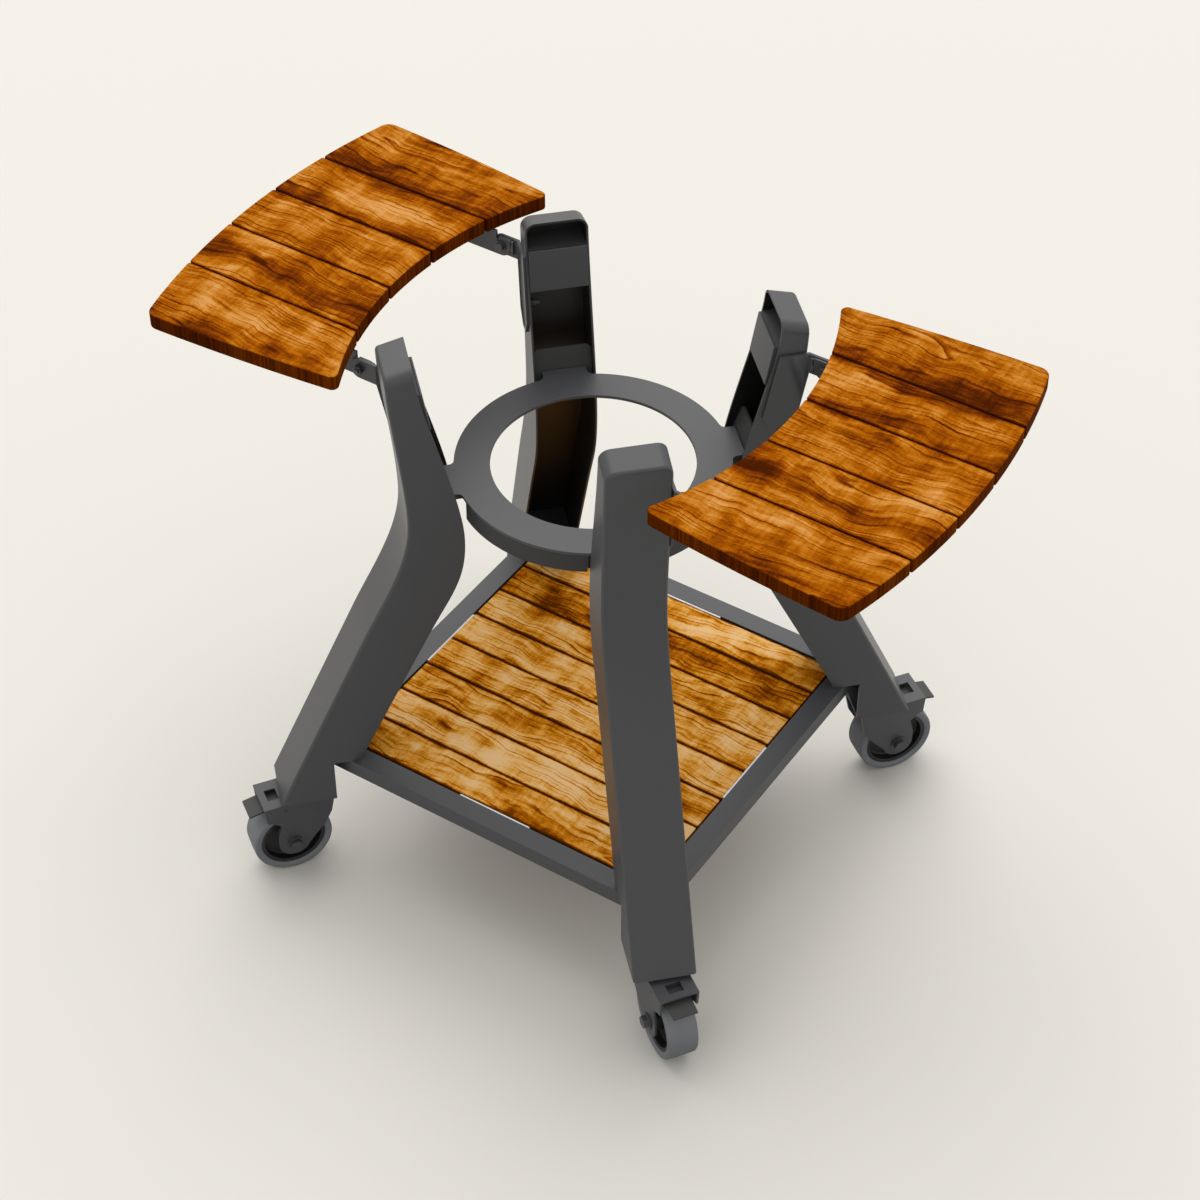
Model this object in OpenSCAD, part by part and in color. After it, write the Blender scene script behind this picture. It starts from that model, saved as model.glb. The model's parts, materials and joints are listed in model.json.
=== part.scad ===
// Kamado stand: four curved channel legs on casters, a cradle ring, a slatted deck in a tray frame,
// and two slatted side shelves that fold down. Millimetres, +Z up, origin on the floor under the centre,
// +X towards the right-hand shelf and -Y towards the front.

/* [Leg] */
// Width of the leg channel across its web
leg_w = 69; // [62:1:78]
// Sheet thickness of the leg
leg_wall = 2.5; // [1.5:0.1:3.5]
// Height of the leg top above the floor
leg_top_h = 705.5; // [680:0.5:740]
// Depth of the web's narrowest place below the leg top
waist_drop = 199; // [185:0.5:210]
// Depth of the knee, where the straight shin starts, below the leg top
knee_drop = 359; // [345:0.5:375]
// Distance that the free edge's narrowest place lies below that of the web
edge_waist_drop = 31; // [22:0.5:40]
// Distance that the free edge's straight run starts above the knee
edge_knee_rise = 4; // [1:0.5:12]
// Run of the web from its narrowest place out to the leg top
top_flare = 15; // [10:0.5:22]
// Run of the web from its narrowest place out to the knee
knee_flare = 57.5; // [50:0.5:66]
// Run of the web from the knee out to the foot's lower end
foot_flare = 105; // [96:0.5:114]
// Depth of the channel at the leg top
top_depth = 29.5; // [25:0.5:35]
// Depth of the channel at the web's narrowest place
waist_depth = 59.5; // [55:0.5:64]
// Depth of the channel at the knee
knee_depth = 75; // [68:0.5:80]
// Depth of the foot below the step over the tray corner
foot_depth = 63.5; // [60:0.5:68]
// Width of the step over the tray corner
step_w = 31.5; // [26:0.5:36]
// Length of the curve handles of the leg's upper bend
upper_handle = 60; // [50:1:70]
// Length of the curve handles of the leg's lower bend
lower_handle = 56; // [46:1:66]
// Radius of the rounded shoulders of the leg top
cap_r = 12; // [8:0.5:16]
// Angle by which the leg's cap falls outwards, from the free edges to the web
cap_tilt = 15; // [5:0.5:20]
// Thickness of the plate that closes each foot
foot_plate_t = 4; // [3:0.5:6]

/* [Cradle ring] */
// Depth of the ring's upper face, where the cooker's foot stands, below the leg top
ring_drop = 173.75; // [160:0.25:182]
// Outer radius of the ring; the legs stand round it
ring_out_r = 147.3; // [130:0.1:165]
// Distance that the legs' free edges reach inside the ring's rim
flange_lap = 2.3; // [1:0.1:6]
// Radius of the ring's hole
ring_in_r = 109; // [100:0.5:120]
// Thickness of the ring plate
ring_t = 4; // [3:0.5:6]
// Width of the four tabs
tab_w = 49; // [42:1:54]
// Reach of the tabs beyond the ring's rim, up to the tie plates
tab_reach = 13.7; // [11:0.1:16]
// Radius of the fillets between tabs and ring
tab_fillet_r = 7; // [4:0.5:9]
// Height of the skirt under the ring plate
skirt_h = 21.75; // [15:0.25:26]
// Thickness of the skirt
skirt_t = 3; // [2:0.5:4]
// Distance between the skirt's ends and the legs' flanges
skirt_clear = 1.5; // [1:0.5:6]
// Lean of the tie plates from the vertical, in degrees
tie_tilt = 20; // [16:0.5:22]
// Thickness of the tie plates
tie_t = 3; // [2:0.5:4]
// Height of the tie plates above the ring's upper face
tie_rise = 24; // [18:0.5:30]
// Distance of the ring bracket's front face from the ring's rim
ring_bracket_inset = 12.3; // [9:0.1:17]
// Sheet thickness of the ring brackets
ring_bracket_t = 3; // [2:0.5:4]

/* [Support pads] */
// Distance of the pad's front face from the web at the leg top
pad_inset = 37.5; // [35:0.5:40]
// Depth of the pad's upper edge below the leg top
pad_drop = 30; // [22:0.5:34]
// Height of the pad
pad_h = 48; // [40:1:54]
// Thickness of the pad
pad_t = 2; // [1.5:0.5:2.5]
// Lean of the pad from the vertical, in degrees
pad_tilt = 9.7; // [8:0.1:11]
// Sheet thickness of the pad bracket
pad_bracket_t = 3; // [2:0.5:4]

/* [Deck and tray frame] */
// Height of the deck's upper face above the floor
deck_h = 171.5; // [166:0.5:190]
// Number of deck boards
deck_count = 8; // [6:1:10]
// Thickness of the deck boards
deck_t = 17; // [14:0.5:20]
// Gap between neighbouring boards
board_gap = 2; // [1:0.5:3]
// Distance that the tray frame's corners reach into the feet
tray_lap = 14.7; // [12:0.1:16]
// Width of the tray frame's upper face
tray_w = 23.8; // [20:0.1:28]
// Sheet thickness of the tray frame
tray_t = 3; // [2:0.5:4]
// Gap between the deck and the tray frame, filled by the edge strips
strip_w = 2.4; // [1.5:0.1:4]
// Thickness of the ledge under the boards
ledge_t = 3; // [2:0.5:4]
// Width of the ledge
ledge_w = 20; // [14:1:24]
// Half of the ledge's opening in the middle of each side
ledge_gap = 46; // [40:1:60]
// Thickness of the corner plates between tray frame and legs
corner_plate_t = 3.5; // [2.5:0.5:5]
// Distance of the deck battens from the middle
batten_x = 110; // [90:1:140]
// Width of the deck battens
batten_w = 30; // [22:1:40]
// Height of the deck battens
batten_t = 12; // [8:0.5:16]
// Distance that the edge strips stay below the deck's upper face
strip_drop = 0.5; // [0.2:0.1:2]

/* [Side shelves] */
// Depth of the shelves' upper face below the leg top
shelf_drop = 16.5; // [12:0.5:20]
// Thickness of the shelf boards
shelf_t = 17.5; // [16:0.5:22]
// Radius of the shelf's inner edge
arc_in_r = 402; // [380:0.5:430]
// Radius of the shelf's outer edge
arc_out_r = 795; // [740:1:850]
// Depth of the shelf from its inner to its outer edge
shelf_depth = 210.5; // [200:0.5:225]
// Half length of the shelf at its inner corners
shelf_in_half = 191.5; // [186:0.5:196]
// Half length of the shelf at its outer corners
shelf_out_half = 211; // [206:0.5:216]
// Rise of the shelf's end edges over a straight line
end_bow = 2.5; // [0:0.1:5]
// Corner radius at the inner edge
shelf_in_round = 7; // [4:0.5:9]
// Corner radius at the outer edge
shelf_out_round = 13; // [8:0.5:18]
// Distance of the inner seams from the middle
seam_in = 38; // [34:0.5:44]
// Distance of the outer seams from the middle
seam_out = 116; // [112:0.5:119]
// Distance of the shelf pivots from the edge where the fixed brackets bend off the legs
pivot_reach = 20.9; // [20:0.1:22.4]
// Height of the shelf pivots below the shelf's lower face
pivot_drop = 17.5; // [15:0.1:20]
// Distance from the pivots to the middle of the shelf's inner edge
shelf_lead = 29; // [27:0.5:32]
// Radius of the pivot eye on the fixed bracket
eye_r = 12; // [10:0.1:14]
// Sheet thickness of the fixed brackets
bracket_t = 3; // [2.5:0.1:3.5]
// Sheet thickness of the moving arms
arm_t = 3; // [2.5:0.1:4]
// Radius of the moving arm's tail
tail_r = 12; // [11:0.1:13]
// Distance that the moving arms end short of the shelf's outer edge
arm_short = 38; // [30:1:46]
// Distance of the first rail from the pivots
rail_near = 53; // [48:1:63]
// Distance of the second rail from the moving arms' outer ends
rail_end = 32; // [24:1:50]
// Width of the rails
rail_w = 25; // [18:1:28]
// Thickness of the rails
rail_t = 4; // [3:0.5:6]
// Radius of the pivot bolts
pivot_bolt_r = 3; // [2.5:0.1:4]

/* [Casters] */
// Distance of the swivel axis from the foot's web
swivel_inset = 34.7; // [32:0.1:37]
// Angle that the casters are turned at rest, in degrees
caster_turn = 10.4; // [0:0.1:360]
// Radius of the wheel over the tyre
wheel_r = 46.6; // [42:0.1:52]
// Width of the tyre
tyre_w = 35; // [30:0.5:40]
// Radial thickness of the tyre
tyre_t = 9.1; // [7:0.1:12]
// Trail of the axle behind the swivel axis
trail = 27.4; // [26:0.1:29]
// Gap between the tyre and each cheek of the fork
tyre_gap = 2.5; // [1.5:0.1:4]
// Sheet thickness of the fork
fork_t = 2.5; // [2:0.1:2.8]
// Height from the top of the tyre to the fork's upper face
fork_head = 16.8; // [15.5:0.1:20]
// Height of the bearing between fork and foot
race_h = 6; // [4:0.5:8]
// Distance from the swivel axis to the fork's rear edge
fork_back = 25; // [23:0.5:28]
// Distance from the swivel axis to the fork's front edge
fork_front = 59; // [57:0.5:61]
// Radius of the axle
axle_r = 4; // [3:0.1:5]
// Radius of the kingpin
kingpin_r = 6; // [5:0.1:7]
// Distance from the fork's front edge back to the brake pedal's pivot
pedal_pivot_back = 25; // [23:0.5:26]
// Depth of the brake pedal's pivot below the fork's upper face
pedal_pivot_drop = 8.5; // [8:0.1:9]
// Distance from the brake pedal's pivot to its tip
pedal_reach = 41; // [36:0.5:46]
// Width of the brake pedal
pedal_w = 28; // [22:1:32]
// Sheet thickness of the brake pedal
pedal_t = 2.5; // [2:0.1:3]
// Angle that the brake pedal turns when it is pressed, in degrees
brake_press = 5; // [3:0.5:6]
// Distance between the brake shoe and the tyre when the pedal is pressed
brake_gap = 1.2; // [0.8:0.1:2]

/* [Hidden] */
LEGS = ["back_right", "back_left", "front_left", "front_right"];

$fn = 48;
steel = [0.30, 0.31, 0.31];
dark_steel = [0.14, 0.14, 0.15];
zinc = [0.62, 0.63, 0.65];
timber = [0.72, 0.42, 0.12];
grey_rubber = [0.45, 0.46, 0.47];
black_plastic = [0.06, 0.06, 0.06];
pale_nylon = [0.95, 0.95, 0.94];

// Angle of the first leg and of the step from leg to leg, in degrees
first_angle = 45;
quarter = 90;
// Mitre of a bend of 45 degrees
mitre = tan(first_angle / 2);
diagonal = sqrt(2);
// Steps of a curve of the leg and of a rounded corner
curve_steps = 10;
corner_steps = 6;
// Steps of half of a shelf's long edge and of its end edge
arc_steps = 9;
end_steps = 4;
// Overrun of every cut
over = 5;
// Radial clearance of a turning fit, of a tapped fit and of a through hole
turn_fit = 0.05;
tap_fit = 0.08;
hole_fit = 0.3;
// Side clearance between sheets that turn past each other
slip = 0.3;
// Across-corner radius of a nut per unit of bolt radius, and its height
nut_share = 1.9;
nut_height_share = 1.6;

// Radii of the web and of the free edge: waist, top, knee, foot and step
edge_waist_r = ring_out_r - flange_lap;
leg_waist_r = edge_waist_r + waist_depth;
leg_top_r = leg_waist_r + top_flare;
edge_top_r = leg_top_r - top_depth;
leg_knee_r = leg_waist_r + knee_flare;
edge_knee_r = leg_knee_r - knee_depth;
leg_foot_r = leg_knee_r + foot_flare;
edge_foot_r = leg_foot_r - foot_depth;
edge_step_r = edge_foot_r - step_w;
// Heights of the web and of the free edge, and of the legs' step on the corner plates
leg_waist_h = leg_top_h - waist_drop;
edge_waist_h = leg_waist_h - edge_waist_drop;
leg_knee_h = leg_top_h - knee_drop;
edge_knee_h = leg_knee_h + edge_knee_rise;
fork_top_h = 2 * wheel_r + fork_head;
leg_foot_h = fork_top_h + race_h;
step_h = deck_h + corner_plate_t;
// Heights of the ring and of the pads
ring_top_h = leg_top_h - ring_drop;
pad_top_h = leg_top_h - pad_drop;
// Radii of the pads' front faces and of the tie plates' front faces at the ring's upper face
pad_r = leg_top_r - pad_inset;
tie_r = ring_out_r + tab_reach;
shin = [leg_foot_r - leg_knee_r, leg_foot_h - leg_knee_h];
edge_shin = [edge_step_r - edge_knee_r, step_h - edge_knee_h];

function bezier(a, b, c, d) = [for (i = [0:curve_steps])
    let (s = i / curve_steps) a * (1 - s) ^ 3 + 3 * b * s * (1 - s) ^ 2 + 3 * c * s ^ 2 * (1 - s) + d * s ^ 3];
function unit(v) = v / norm(v);
function reversed(list) = [for (i = [len(list) - 1:-1:0]) list[i]];
function tail_of(list) = [for (i = [1:len(list) - 1]) list[i]];
// A line of points moved sideways by a distance, to the left of its run
function inset(line, d) = [for (i = [0:len(line) - 1])
    let (u = unit(line[min(i + 1, len(line) - 1)] - line[max(i - 1, 0)])) line[i] + d * [u.y, -u.x]];
// A corner p between a and b, rounded with radius r
function rounded(a, p, b, r) =
    let (u = unit(a - p), v = unit(b - p), half = acos(u * v) / 2)
    let (c = p + unit(u + v) * r / sin(half), from = p + u * r / tan(half) - c, to = p + v * r / tan(half) - c)
    let (start = atan2(from.y, from.x), swing = atan2(to.y, to.x) - start)
    let (turn = swing > 180 ? swing - 360 : swing < -180 ? swing + 360 : swing)
    [for (i = [0:corner_steps]) c + r * [cos(start + turn * i / corner_steps), sin(start + turn * i / corner_steps)]];

// Web face of the leg as radius and height, from the top to the foot
web_line = concat(
    bezier([leg_top_r, leg_top_h], [leg_top_r, leg_top_h - upper_handle],
           [leg_waist_r, leg_waist_h + upper_handle], [leg_waist_r, leg_waist_h]),
    tail_of(bezier([leg_waist_r, leg_waist_h], [leg_waist_r, leg_waist_h - lower_handle],
                   [leg_knee_r, leg_knee_h] - lower_handle * unit(shin), [leg_knee_r, leg_knee_h])),
    [[leg_foot_r, leg_foot_h]]);
// Free edge of the flanges, from the top to the step
edge_line = concat(
    bezier([edge_top_r, leg_top_h], [edge_top_r, leg_top_h] - upper_handle * unit([edge_top_r - pad_r, pad_h * 3]),
           [edge_waist_r, edge_waist_h + upper_handle], [edge_waist_r, edge_waist_h]),
    tail_of(bezier([edge_waist_r, edge_waist_h], [edge_waist_r, edge_waist_h - lower_handle],
                   [edge_knee_r, edge_knee_h] - lower_handle * unit(edge_shin), [edge_knee_r, edge_knee_h])),
    [[edge_step_r, step_h]]);
cavity_in_r = edge_waist_r - tab_w;
channel_half = leg_w / 2 - leg_wall;

module profile_along_t(points, width) {
    rotate([90, 0, 0]) linear_extrude(width, center = true) polygon(points);
}

module shape_along_r(length) {
    rotate([90, 0, 90]) linear_extrude(length) children();
}

module round_top(width, top, r) {
    translate([-width / 2, 0]) square([width, top - r]);
    translate([r - width / 2, 0]) square([width - 2 * r, top]);
    for (side = [-1, 1]) translate([side * (width / 2 - r), top - r]) circle(r);
}

// Everything below the leg's tilted cap, or below a face that lies under it by a depth
module below_cap(width, depth, r) {
    translate([edge_top_r, 0, leg_top_h]) rotate([0, cap_tilt, 0])
        translate([-leg_waist_r, 0, -depth - leg_top_h]) shape_along_r(leg_waist_r + leg_top_h)
            round_top(width, leg_top_h, r);
}

// Space between the flanges, reaching past their free edges
module leg_cavity() {
    inner_web = inset(web_line, leg_wall);
    intersection() {
        profile_along_t(concat(inner_web, [[cavity_in_r, inner_web[len(inner_web) - 1].y], [cavity_in_r, leg_top_h]]),
                        2 * channel_half);
        below_cap(2 * channel_half, leg_wall, cap_r - leg_wall);
    }
}

// Place and size of the weld studs that pass the leg's flange
stud_r = 3;
stud_length = 12;
upper_stud_step = [19.5, 53.5];
lower_stud_step = [21, 102.5];
lower_stud = [(leg_top_r + leg_waist_r) / 2, leg_top_h] - lower_stud_step;
stud_places = [[leg_top_r, leg_top_h] - upper_stud_step, lower_stud];

module leg_form(stud_side) {
    difference() {
        intersection() {
            profile_along_t(concat(web_line, [[edge_foot_r, leg_foot_h], [edge_foot_r, step_h]], reversed(edge_line)),
                            leg_w);
            below_cap(leg_w, 0, cap_r);
        }
        leg_cavity();
        for (place = stud_places) translate([place.x, stud_side * leg_w / 2, place.y]) rotate([90, 0, 0])
            cylinder(r = stud_r + hole_fit, h = leg_wall + over, center = true);
    }
}

module at_leg(i) {
    rotate([0, 0, first_angle + quarter * i]) children();
}

module at_each_leg() {
    for (i = [0:len(LEGS) - 1]) at_leg(i) children();
}

// Side of the leg that carries the shelf bracket, seen outwards along the leg
function stud_side(i) = i % 2 == 0 ? -1 : 1;

module leg(i) {
    color(steel) at_leg(i) leg_form(stud_side(i));
}

module nut(bolt_r) {
    difference() {
        cylinder(r = bolt_r * nut_share, h = bolt_r * nut_height_share, $fn = 6);
        translate([0, 0, -over]) cylinder(r = bolt_r + tap_fit, h = bolt_r * nut_height_share + 2 * over);
    }
}

module foot_plates() {
    color(dark_steel) at_each_leg() difference() {
        intersection() {
            leg_cavity();
            translate([edge_foot_r, -leg_w / 2, leg_foot_h]) cube([leg_foot_r - edge_foot_r, leg_w, foot_plate_t]);
        }
        translate([swivel_r, 0, leg_foot_h - over]) cylinder(r = kingpin_r + hole_fit, h = foot_plate_t + 2 * over);
    }
}

// Tie plate and ring bracket share a frame on the tie plate's front face, at the ring's upper face
tie_low = ring_t + skirt_h;
tie_chamfer = 4;
ring_stud_t = 13;
ring_stud_drop = 15;

module on_tie_face() {
    translate([tie_r, 0, ring_top_h]) rotate([0, tie_tilt, 0]) children();
}

module ring_stud_places() {
    for (side = [-1, 1]) translate([0, side * ring_stud_t, -ring_stud_drop]) rotate([0, 90, 0]) children();
}

module tie_plates() {
    color(dark_steel) at_each_leg() on_tie_face() difference() {
        shape_along_r(tie_t) polygon([
            [-channel_half, -tie_low], [channel_half, -tie_low], [channel_half, tie_rise - tie_chamfer],
            [channel_half - tie_chamfer, tie_rise], [tie_chamfer - channel_half, tie_rise],
            [-channel_half, tie_rise - tie_chamfer]]);
        ring_stud_places() translate([0, 0, -over]) cylinder(r = stud_r + hole_fit, h = tie_t + 2 * over);
    }
}

module ring_fillet(side) {
    centre_t = tab_w / 2 + tab_fillet_r;
    centre_r = sqrt((ring_out_r + tab_fillet_r) ^ 2 - centre_t ^ 2);
    touch_share = ring_out_r / (ring_out_r + tab_fillet_r);
    scale([1, side]) difference() {
        polygon([[centre_r * touch_share - tab_fillet_r, tab_w / 2 - tab_fillet_r], [centre_r, tab_w / 2 - tab_fillet_r],
                 [centre_r, centre_t], [centre_r, centre_t] * touch_share]);
        translate([centre_r, centre_t]) circle(tab_fillet_r);
    }
}

tab_end_r = tie_r - ring_t * tan(tie_tilt);
ring_bracket_r = ring_out_r - ring_bracket_inset;
// Half of the skirt's opening at each leg
skirt_gap = leg_w / 2 + skirt_clear;

module ring_plate() {
    color(steel) translate([0, 0, ring_top_h - ring_t]) linear_extrude(ring_t) difference() {
        union() {
            circle(ring_out_r, $fn = 96);
            at_each_leg() {
                translate([ring_in_r, -tab_w / 2]) square([tab_end_r - ring_in_r, tab_w]);
                for (side = [-1, 1]) ring_fillet(side);
            }
        }
        circle(ring_in_r, $fn = 96);
    }
}

module ring_skirt() {
    color(dark_steel) translate([0, 0, ring_top_h - ring_t - skirt_h]) linear_extrude(skirt_h) difference() {
        circle(ring_out_r, $fn = 96);
        circle(ring_out_r - skirt_t, $fn = 96);
        at_each_leg() translate([0, -skirt_gap]) square([ring_out_r + over, 2 * skirt_gap]);
    }
}

module ring_brackets() {
    under_ring = ring_top_h - ring_t;
    lean = ring_bracket_t / cos(tie_tilt);
    face_r = tie_r - ring_t * tan(tie_tilt);
    low_face_r = tie_r - tie_low * tan(tie_tilt);
    color(dark_steel) at_each_leg() {
        translate([ring_bracket_r, -leg_w / 2, under_ring - skirt_h]) cube([ring_bracket_t, leg_w, skirt_h]);
        profile_along_t([[ring_bracket_r, under_ring], [face_r, under_ring], [low_face_r, under_ring - skirt_h],
                         [low_face_r - lean, under_ring - skirt_h],
                         [face_r - lean - ring_bracket_t * tan(tie_tilt), under_ring - ring_bracket_t],
                         [ring_bracket_r, under_ring - ring_bracket_t]], tab_w);
        on_tie_face() ring_stud_places() translate([0, 0, -ring_bracket_t / 2])
            cylinder(r = stud_r, h = tie_t + stud_length);
    }
}

module ring_nuts() {
    color(zinc) at_each_leg() on_tie_face() ring_stud_places() translate([0, 0, tie_t]) nut(stud_r);
}

module on_pad_face() {
    translate([pad_r, 0, pad_top_h]) rotate([0, pad_tilt, 0]) children();
}

// Distance that the pad's back sheet stays above the pad's lower edge
pad_sheet_short = 2;

module pad_brackets() {
    color(dark_steel) at_each_leg() {
        on_pad_face() translate([pad_t, -channel_half, pad_sheet_short - pad_h])
            cube([pad_bracket_t, 2 * channel_half, pad_h - pad_sheet_short - pad_bracket_t * sin(pad_tilt)]);
        intersection() {
            leg_cavity();
            translate([pad_r + pad_t + pad_bracket_t / 2, -channel_half, pad_top_h - pad_bracket_t])
                cube([leg_top_r - pad_r, 2 * channel_half, pad_bracket_t]);
        }
    }
}

module support_pads() {
    color(steel) at_each_leg() on_pad_face() translate([0, slip - channel_half, -pad_h])
        cube([pad_t, 2 * channel_half - 2 * slip, pad_h]);
}

// The tray frame is an inverted channel with mitred corners
tray_h = deck_t + ledge_t;
tray_half = (edge_foot_r + tray_lap) / diagonal;
tray_in_half = tray_half - tray_w;
deck_half = tray_in_half - strip_w;

module tray_frame() {
    color(steel) difference() {
        translate([-tray_half, -tray_half, deck_h - tray_h]) cube([2 * tray_half, 2 * tray_half, tray_h]);
        translate([-tray_in_half, -tray_in_half, deck_h - tray_h - over])
            cube([2 * tray_in_half, 2 * tray_in_half, tray_h + 2 * over]);
        difference() {
            translate([tray_t - tray_half, tray_t - tray_half, deck_h - tray_h - over])
                cube([2 * (tray_half - tray_t), 2 * (tray_half - tray_t), tray_h + over - tray_t]);
            translate([-tray_in_half - tray_t, -tray_in_half - tray_t, deck_h - tray_h - over])
                cube([2 * (tray_in_half + tray_t), 2 * (tray_in_half + tray_t), tray_h + over]);
        }
        tray_bolt_places() translate([0, 0, deck_h - tray_t - over])
            cylinder(r = tray_bolt_r + hole_fit, h = tray_t + 2 * over);
    }
}

tray_bolt_r = 3;
tray_bolt_t = 12;

module tray_bolt_places() {
    tray_middle_r = (tray_half + tray_in_half) / 2 * diagonal;
    at_each_leg() for (side = [-1, 1]) translate([tray_middle_r - tray_bolt_t, side * tray_bolt_t, 0]) children();
}

module tray_ledges() {
    color(steel) translate([0, 0, deck_h - tray_h]) linear_extrude(ledge_t) difference() {
        square(2 * tray_in_half, center = true);
        square(2 * (tray_in_half - ledge_w), center = true);
        square([2 * ledge_gap, 2 * tray_half], center = true);
        square([2 * tray_half, 2 * ledge_gap], center = true);
    }
}

module tray_corner_plates() {
    color(steel) difference() {
        at_each_leg() {
            translate([edge_step_r, -leg_w / 2, deck_h]) cube([edge_foot_r - edge_step_r, leg_w, corner_plate_t]);
            intersection() {
                leg_cavity();
                translate([edge_step_r, -leg_w / 2, deck_h]) cube([leg_foot_r - edge_step_r, leg_w, corner_plate_t]);
            }
        }
        tray_bolt_places() translate([0, 0, deck_h - over]) cylinder(r = tray_bolt_r + tap_fit, h = corner_plate_t + 2 * over);
    }
}

module tray_bolts() {
    head_h = tray_bolt_r * nut_height_share;
    color(zinc) tray_bolt_places() translate([0, 0, deck_h - tray_t - head_h]) {
        cylinder(r = tray_bolt_r * nut_share, h = head_h, $fn = 6);
        cylinder(r = tray_bolt_r, h = head_h + tray_t + corner_plate_t);
    }
}

// Wood screws are driven from below
screw_r = 2;
screw_head_r = 4.5;
screw_head_t = 2.5;
screw_bite = 12;

module screw(grip) {
    translate([0, 0, -screw_head_t]) cylinder(r = screw_head_r, h = screw_head_t);
    cylinder(r = screw_r, h = grip + screw_bite);
}

module pilot() {
    translate([0, 0, -over]) cylinder(r = screw_r + tap_fit, h = screw_bite + over + board_gap);
}

deck_pitch = 2 * deck_half / deck_count;

module deck_screw_places(h) {
    for (side = [-1, 1], i = [0:deck_count - 1])
        translate([side * batten_x, deck_pitch * (i + 1 / 2) - deck_half, h]) children();
}

module deck_boards() {
    color(timber) difference() {
        for (i = [0:deck_count - 1]) {
            low = i == 0 ? 0 : board_gap / 2;
            high = i == deck_count - 1 ? 0 : board_gap / 2;
            translate([-deck_half, deck_pitch * i - deck_half + low, deck_h - deck_t])
                cube([2 * deck_half, deck_pitch - low - high, deck_t]);
        }
        deck_screw_places(deck_h - deck_t) pilot();
    }
}

module deck_battens() {
    half_length = tray_in_half - ledge_w - board_gap / 2;
    color(timber) difference() {
        for (side = [-1, 1]) translate([side * batten_x - batten_w / 2, -half_length, deck_h - deck_t - batten_t])
            cube([batten_w, 2 * half_length, batten_t]);
        deck_screw_places(deck_h - deck_t - batten_t) translate([0, 0, -over])
            cylinder(r = screw_r + hole_fit, h = batten_t + 2 * over);
    }
}

module deck_screws() {
    color(zinc) deck_screw_places(deck_h - deck_t - batten_t) screw(batten_t);
}

module deck_edge_strips() {
    color(pale_nylon) for (i = [0:len(LEGS) - 1]) rotate([0, 0, quarter * i])
        translate([deck_half, -ledge_gap, deck_h - deck_t]) cube([strip_w, 2 * ledge_gap, deck_t - strip_drop]);
}

// The fixed shelf bracket lies on the leg's flange, bends 45 degrees and ends in the pivot eye
shelf_h = leg_top_h - shelf_drop;
bend_r = leg_top_r;
bend_x = (bend_r + leg_w / 2) / diagonal;
pivot_x = bend_x + pivot_reach;
pivot_h = shelf_h - shelf_t - pivot_drop;
bracket_top_h = pivot_h + eye_r;
fixed_arm_y = (bend_r - leg_w / 2) / diagonal;
moving_arm_y = fixed_arm_y - bracket_t - slip;
lug_t = 3.5;
lug_drop = 7;
lug_h = 17;
bracket_lap = 32;
bracket_low_drop = 31.5;
bracket_low_in = 19;
bracket_low_out = 18;
bracket_low_h = lower_stud.y - bracket_low_drop;
bracket_in_top_r = bend_r - bracket_lap;
bracket_in_low_r = lower_stud.x - bracket_low_in;
bracket_out_low_r = lower_stud.x + bracket_low_out;
bracket_chamfer = 14;
bracket_toe = 17;

module bracket_plate() {
    translate([0, -leg_w / 2, 0]) rotate([90, 0, 0]) linear_extrude(bracket_t) polygon([
        [bracket_in_top_r, bracket_top_h], [bend_r, bracket_top_h], [bend_r, bracket_top_h - 2 * eye_r],
        [bracket_out_low_r, bracket_low_h + bracket_chamfer], [bracket_out_low_r - bracket_chamfer, bracket_low_h],
        [bracket_in_low_r + bracket_toe / 2, bracket_low_h], [bracket_in_low_r, bracket_low_h + bracket_toe]]);
}

module bracket_form() {
    inner_bend_x = bend_x + bracket_t * mitre;
    lug_x = pivot_x - tail_r - slip - lug_t;
    difference() {
        union() {
            rotate([0, 0, first_angle]) bracket_plate();
            translate([0, 0, bracket_top_h - 2 * eye_r]) linear_extrude(2 * eye_r) polygon([
                [bend_x, fixed_arm_y], [inner_bend_x, fixed_arm_y - bracket_t],
                [pivot_x, fixed_arm_y - bracket_t], [pivot_x, fixed_arm_y]]);
            translate([pivot_x, fixed_arm_y, pivot_h]) rotate([90, 0, 0]) cylinder(r = eye_r, h = bracket_t);
            translate([lug_x, moving_arm_y - arm_t, pivot_h - lug_drop])
                cube([lug_t, arm_t + slip + bracket_t / 2, lug_h]);
        }
        translate([pivot_x, fixed_arm_y + over, pivot_h]) rotate([90, 0, 0])
            cylinder(r = pivot_bolt_r + turn_fit, h = bracket_t + 2 * over);
    }
    rotate([0, 0, first_angle]) for (place = stud_places)
        translate([place.x, -leg_w / 2 - bracket_t / 2, place.y]) rotate([-90, 0, 0])
            cylinder(r = stud_r, h = bracket_t / 2 + leg_wall + stud_length);
}

// Mirrors a piece of the back right quarter into the quarter of leg i
module in_quarter(i) {
    mirror([i == 1 || i == 2 ? 1 : 0, 0, 0]) mirror([0, i > 1 ? 1 : 0, 0]) children();
}

module shelf_bracket(i) {
    color(steel) in_quarter(i) bracket_form();
}

module bracket_nuts() {
    color(zinc) for (i = [0:len(LEGS) - 1]) in_quarter(i) rotate([0, 0, first_angle]) for (place = stud_places)
        translate([place.x, -channel_half, place.y]) rotate([-90, 0, 0]) nut(stud_r);
}

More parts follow.
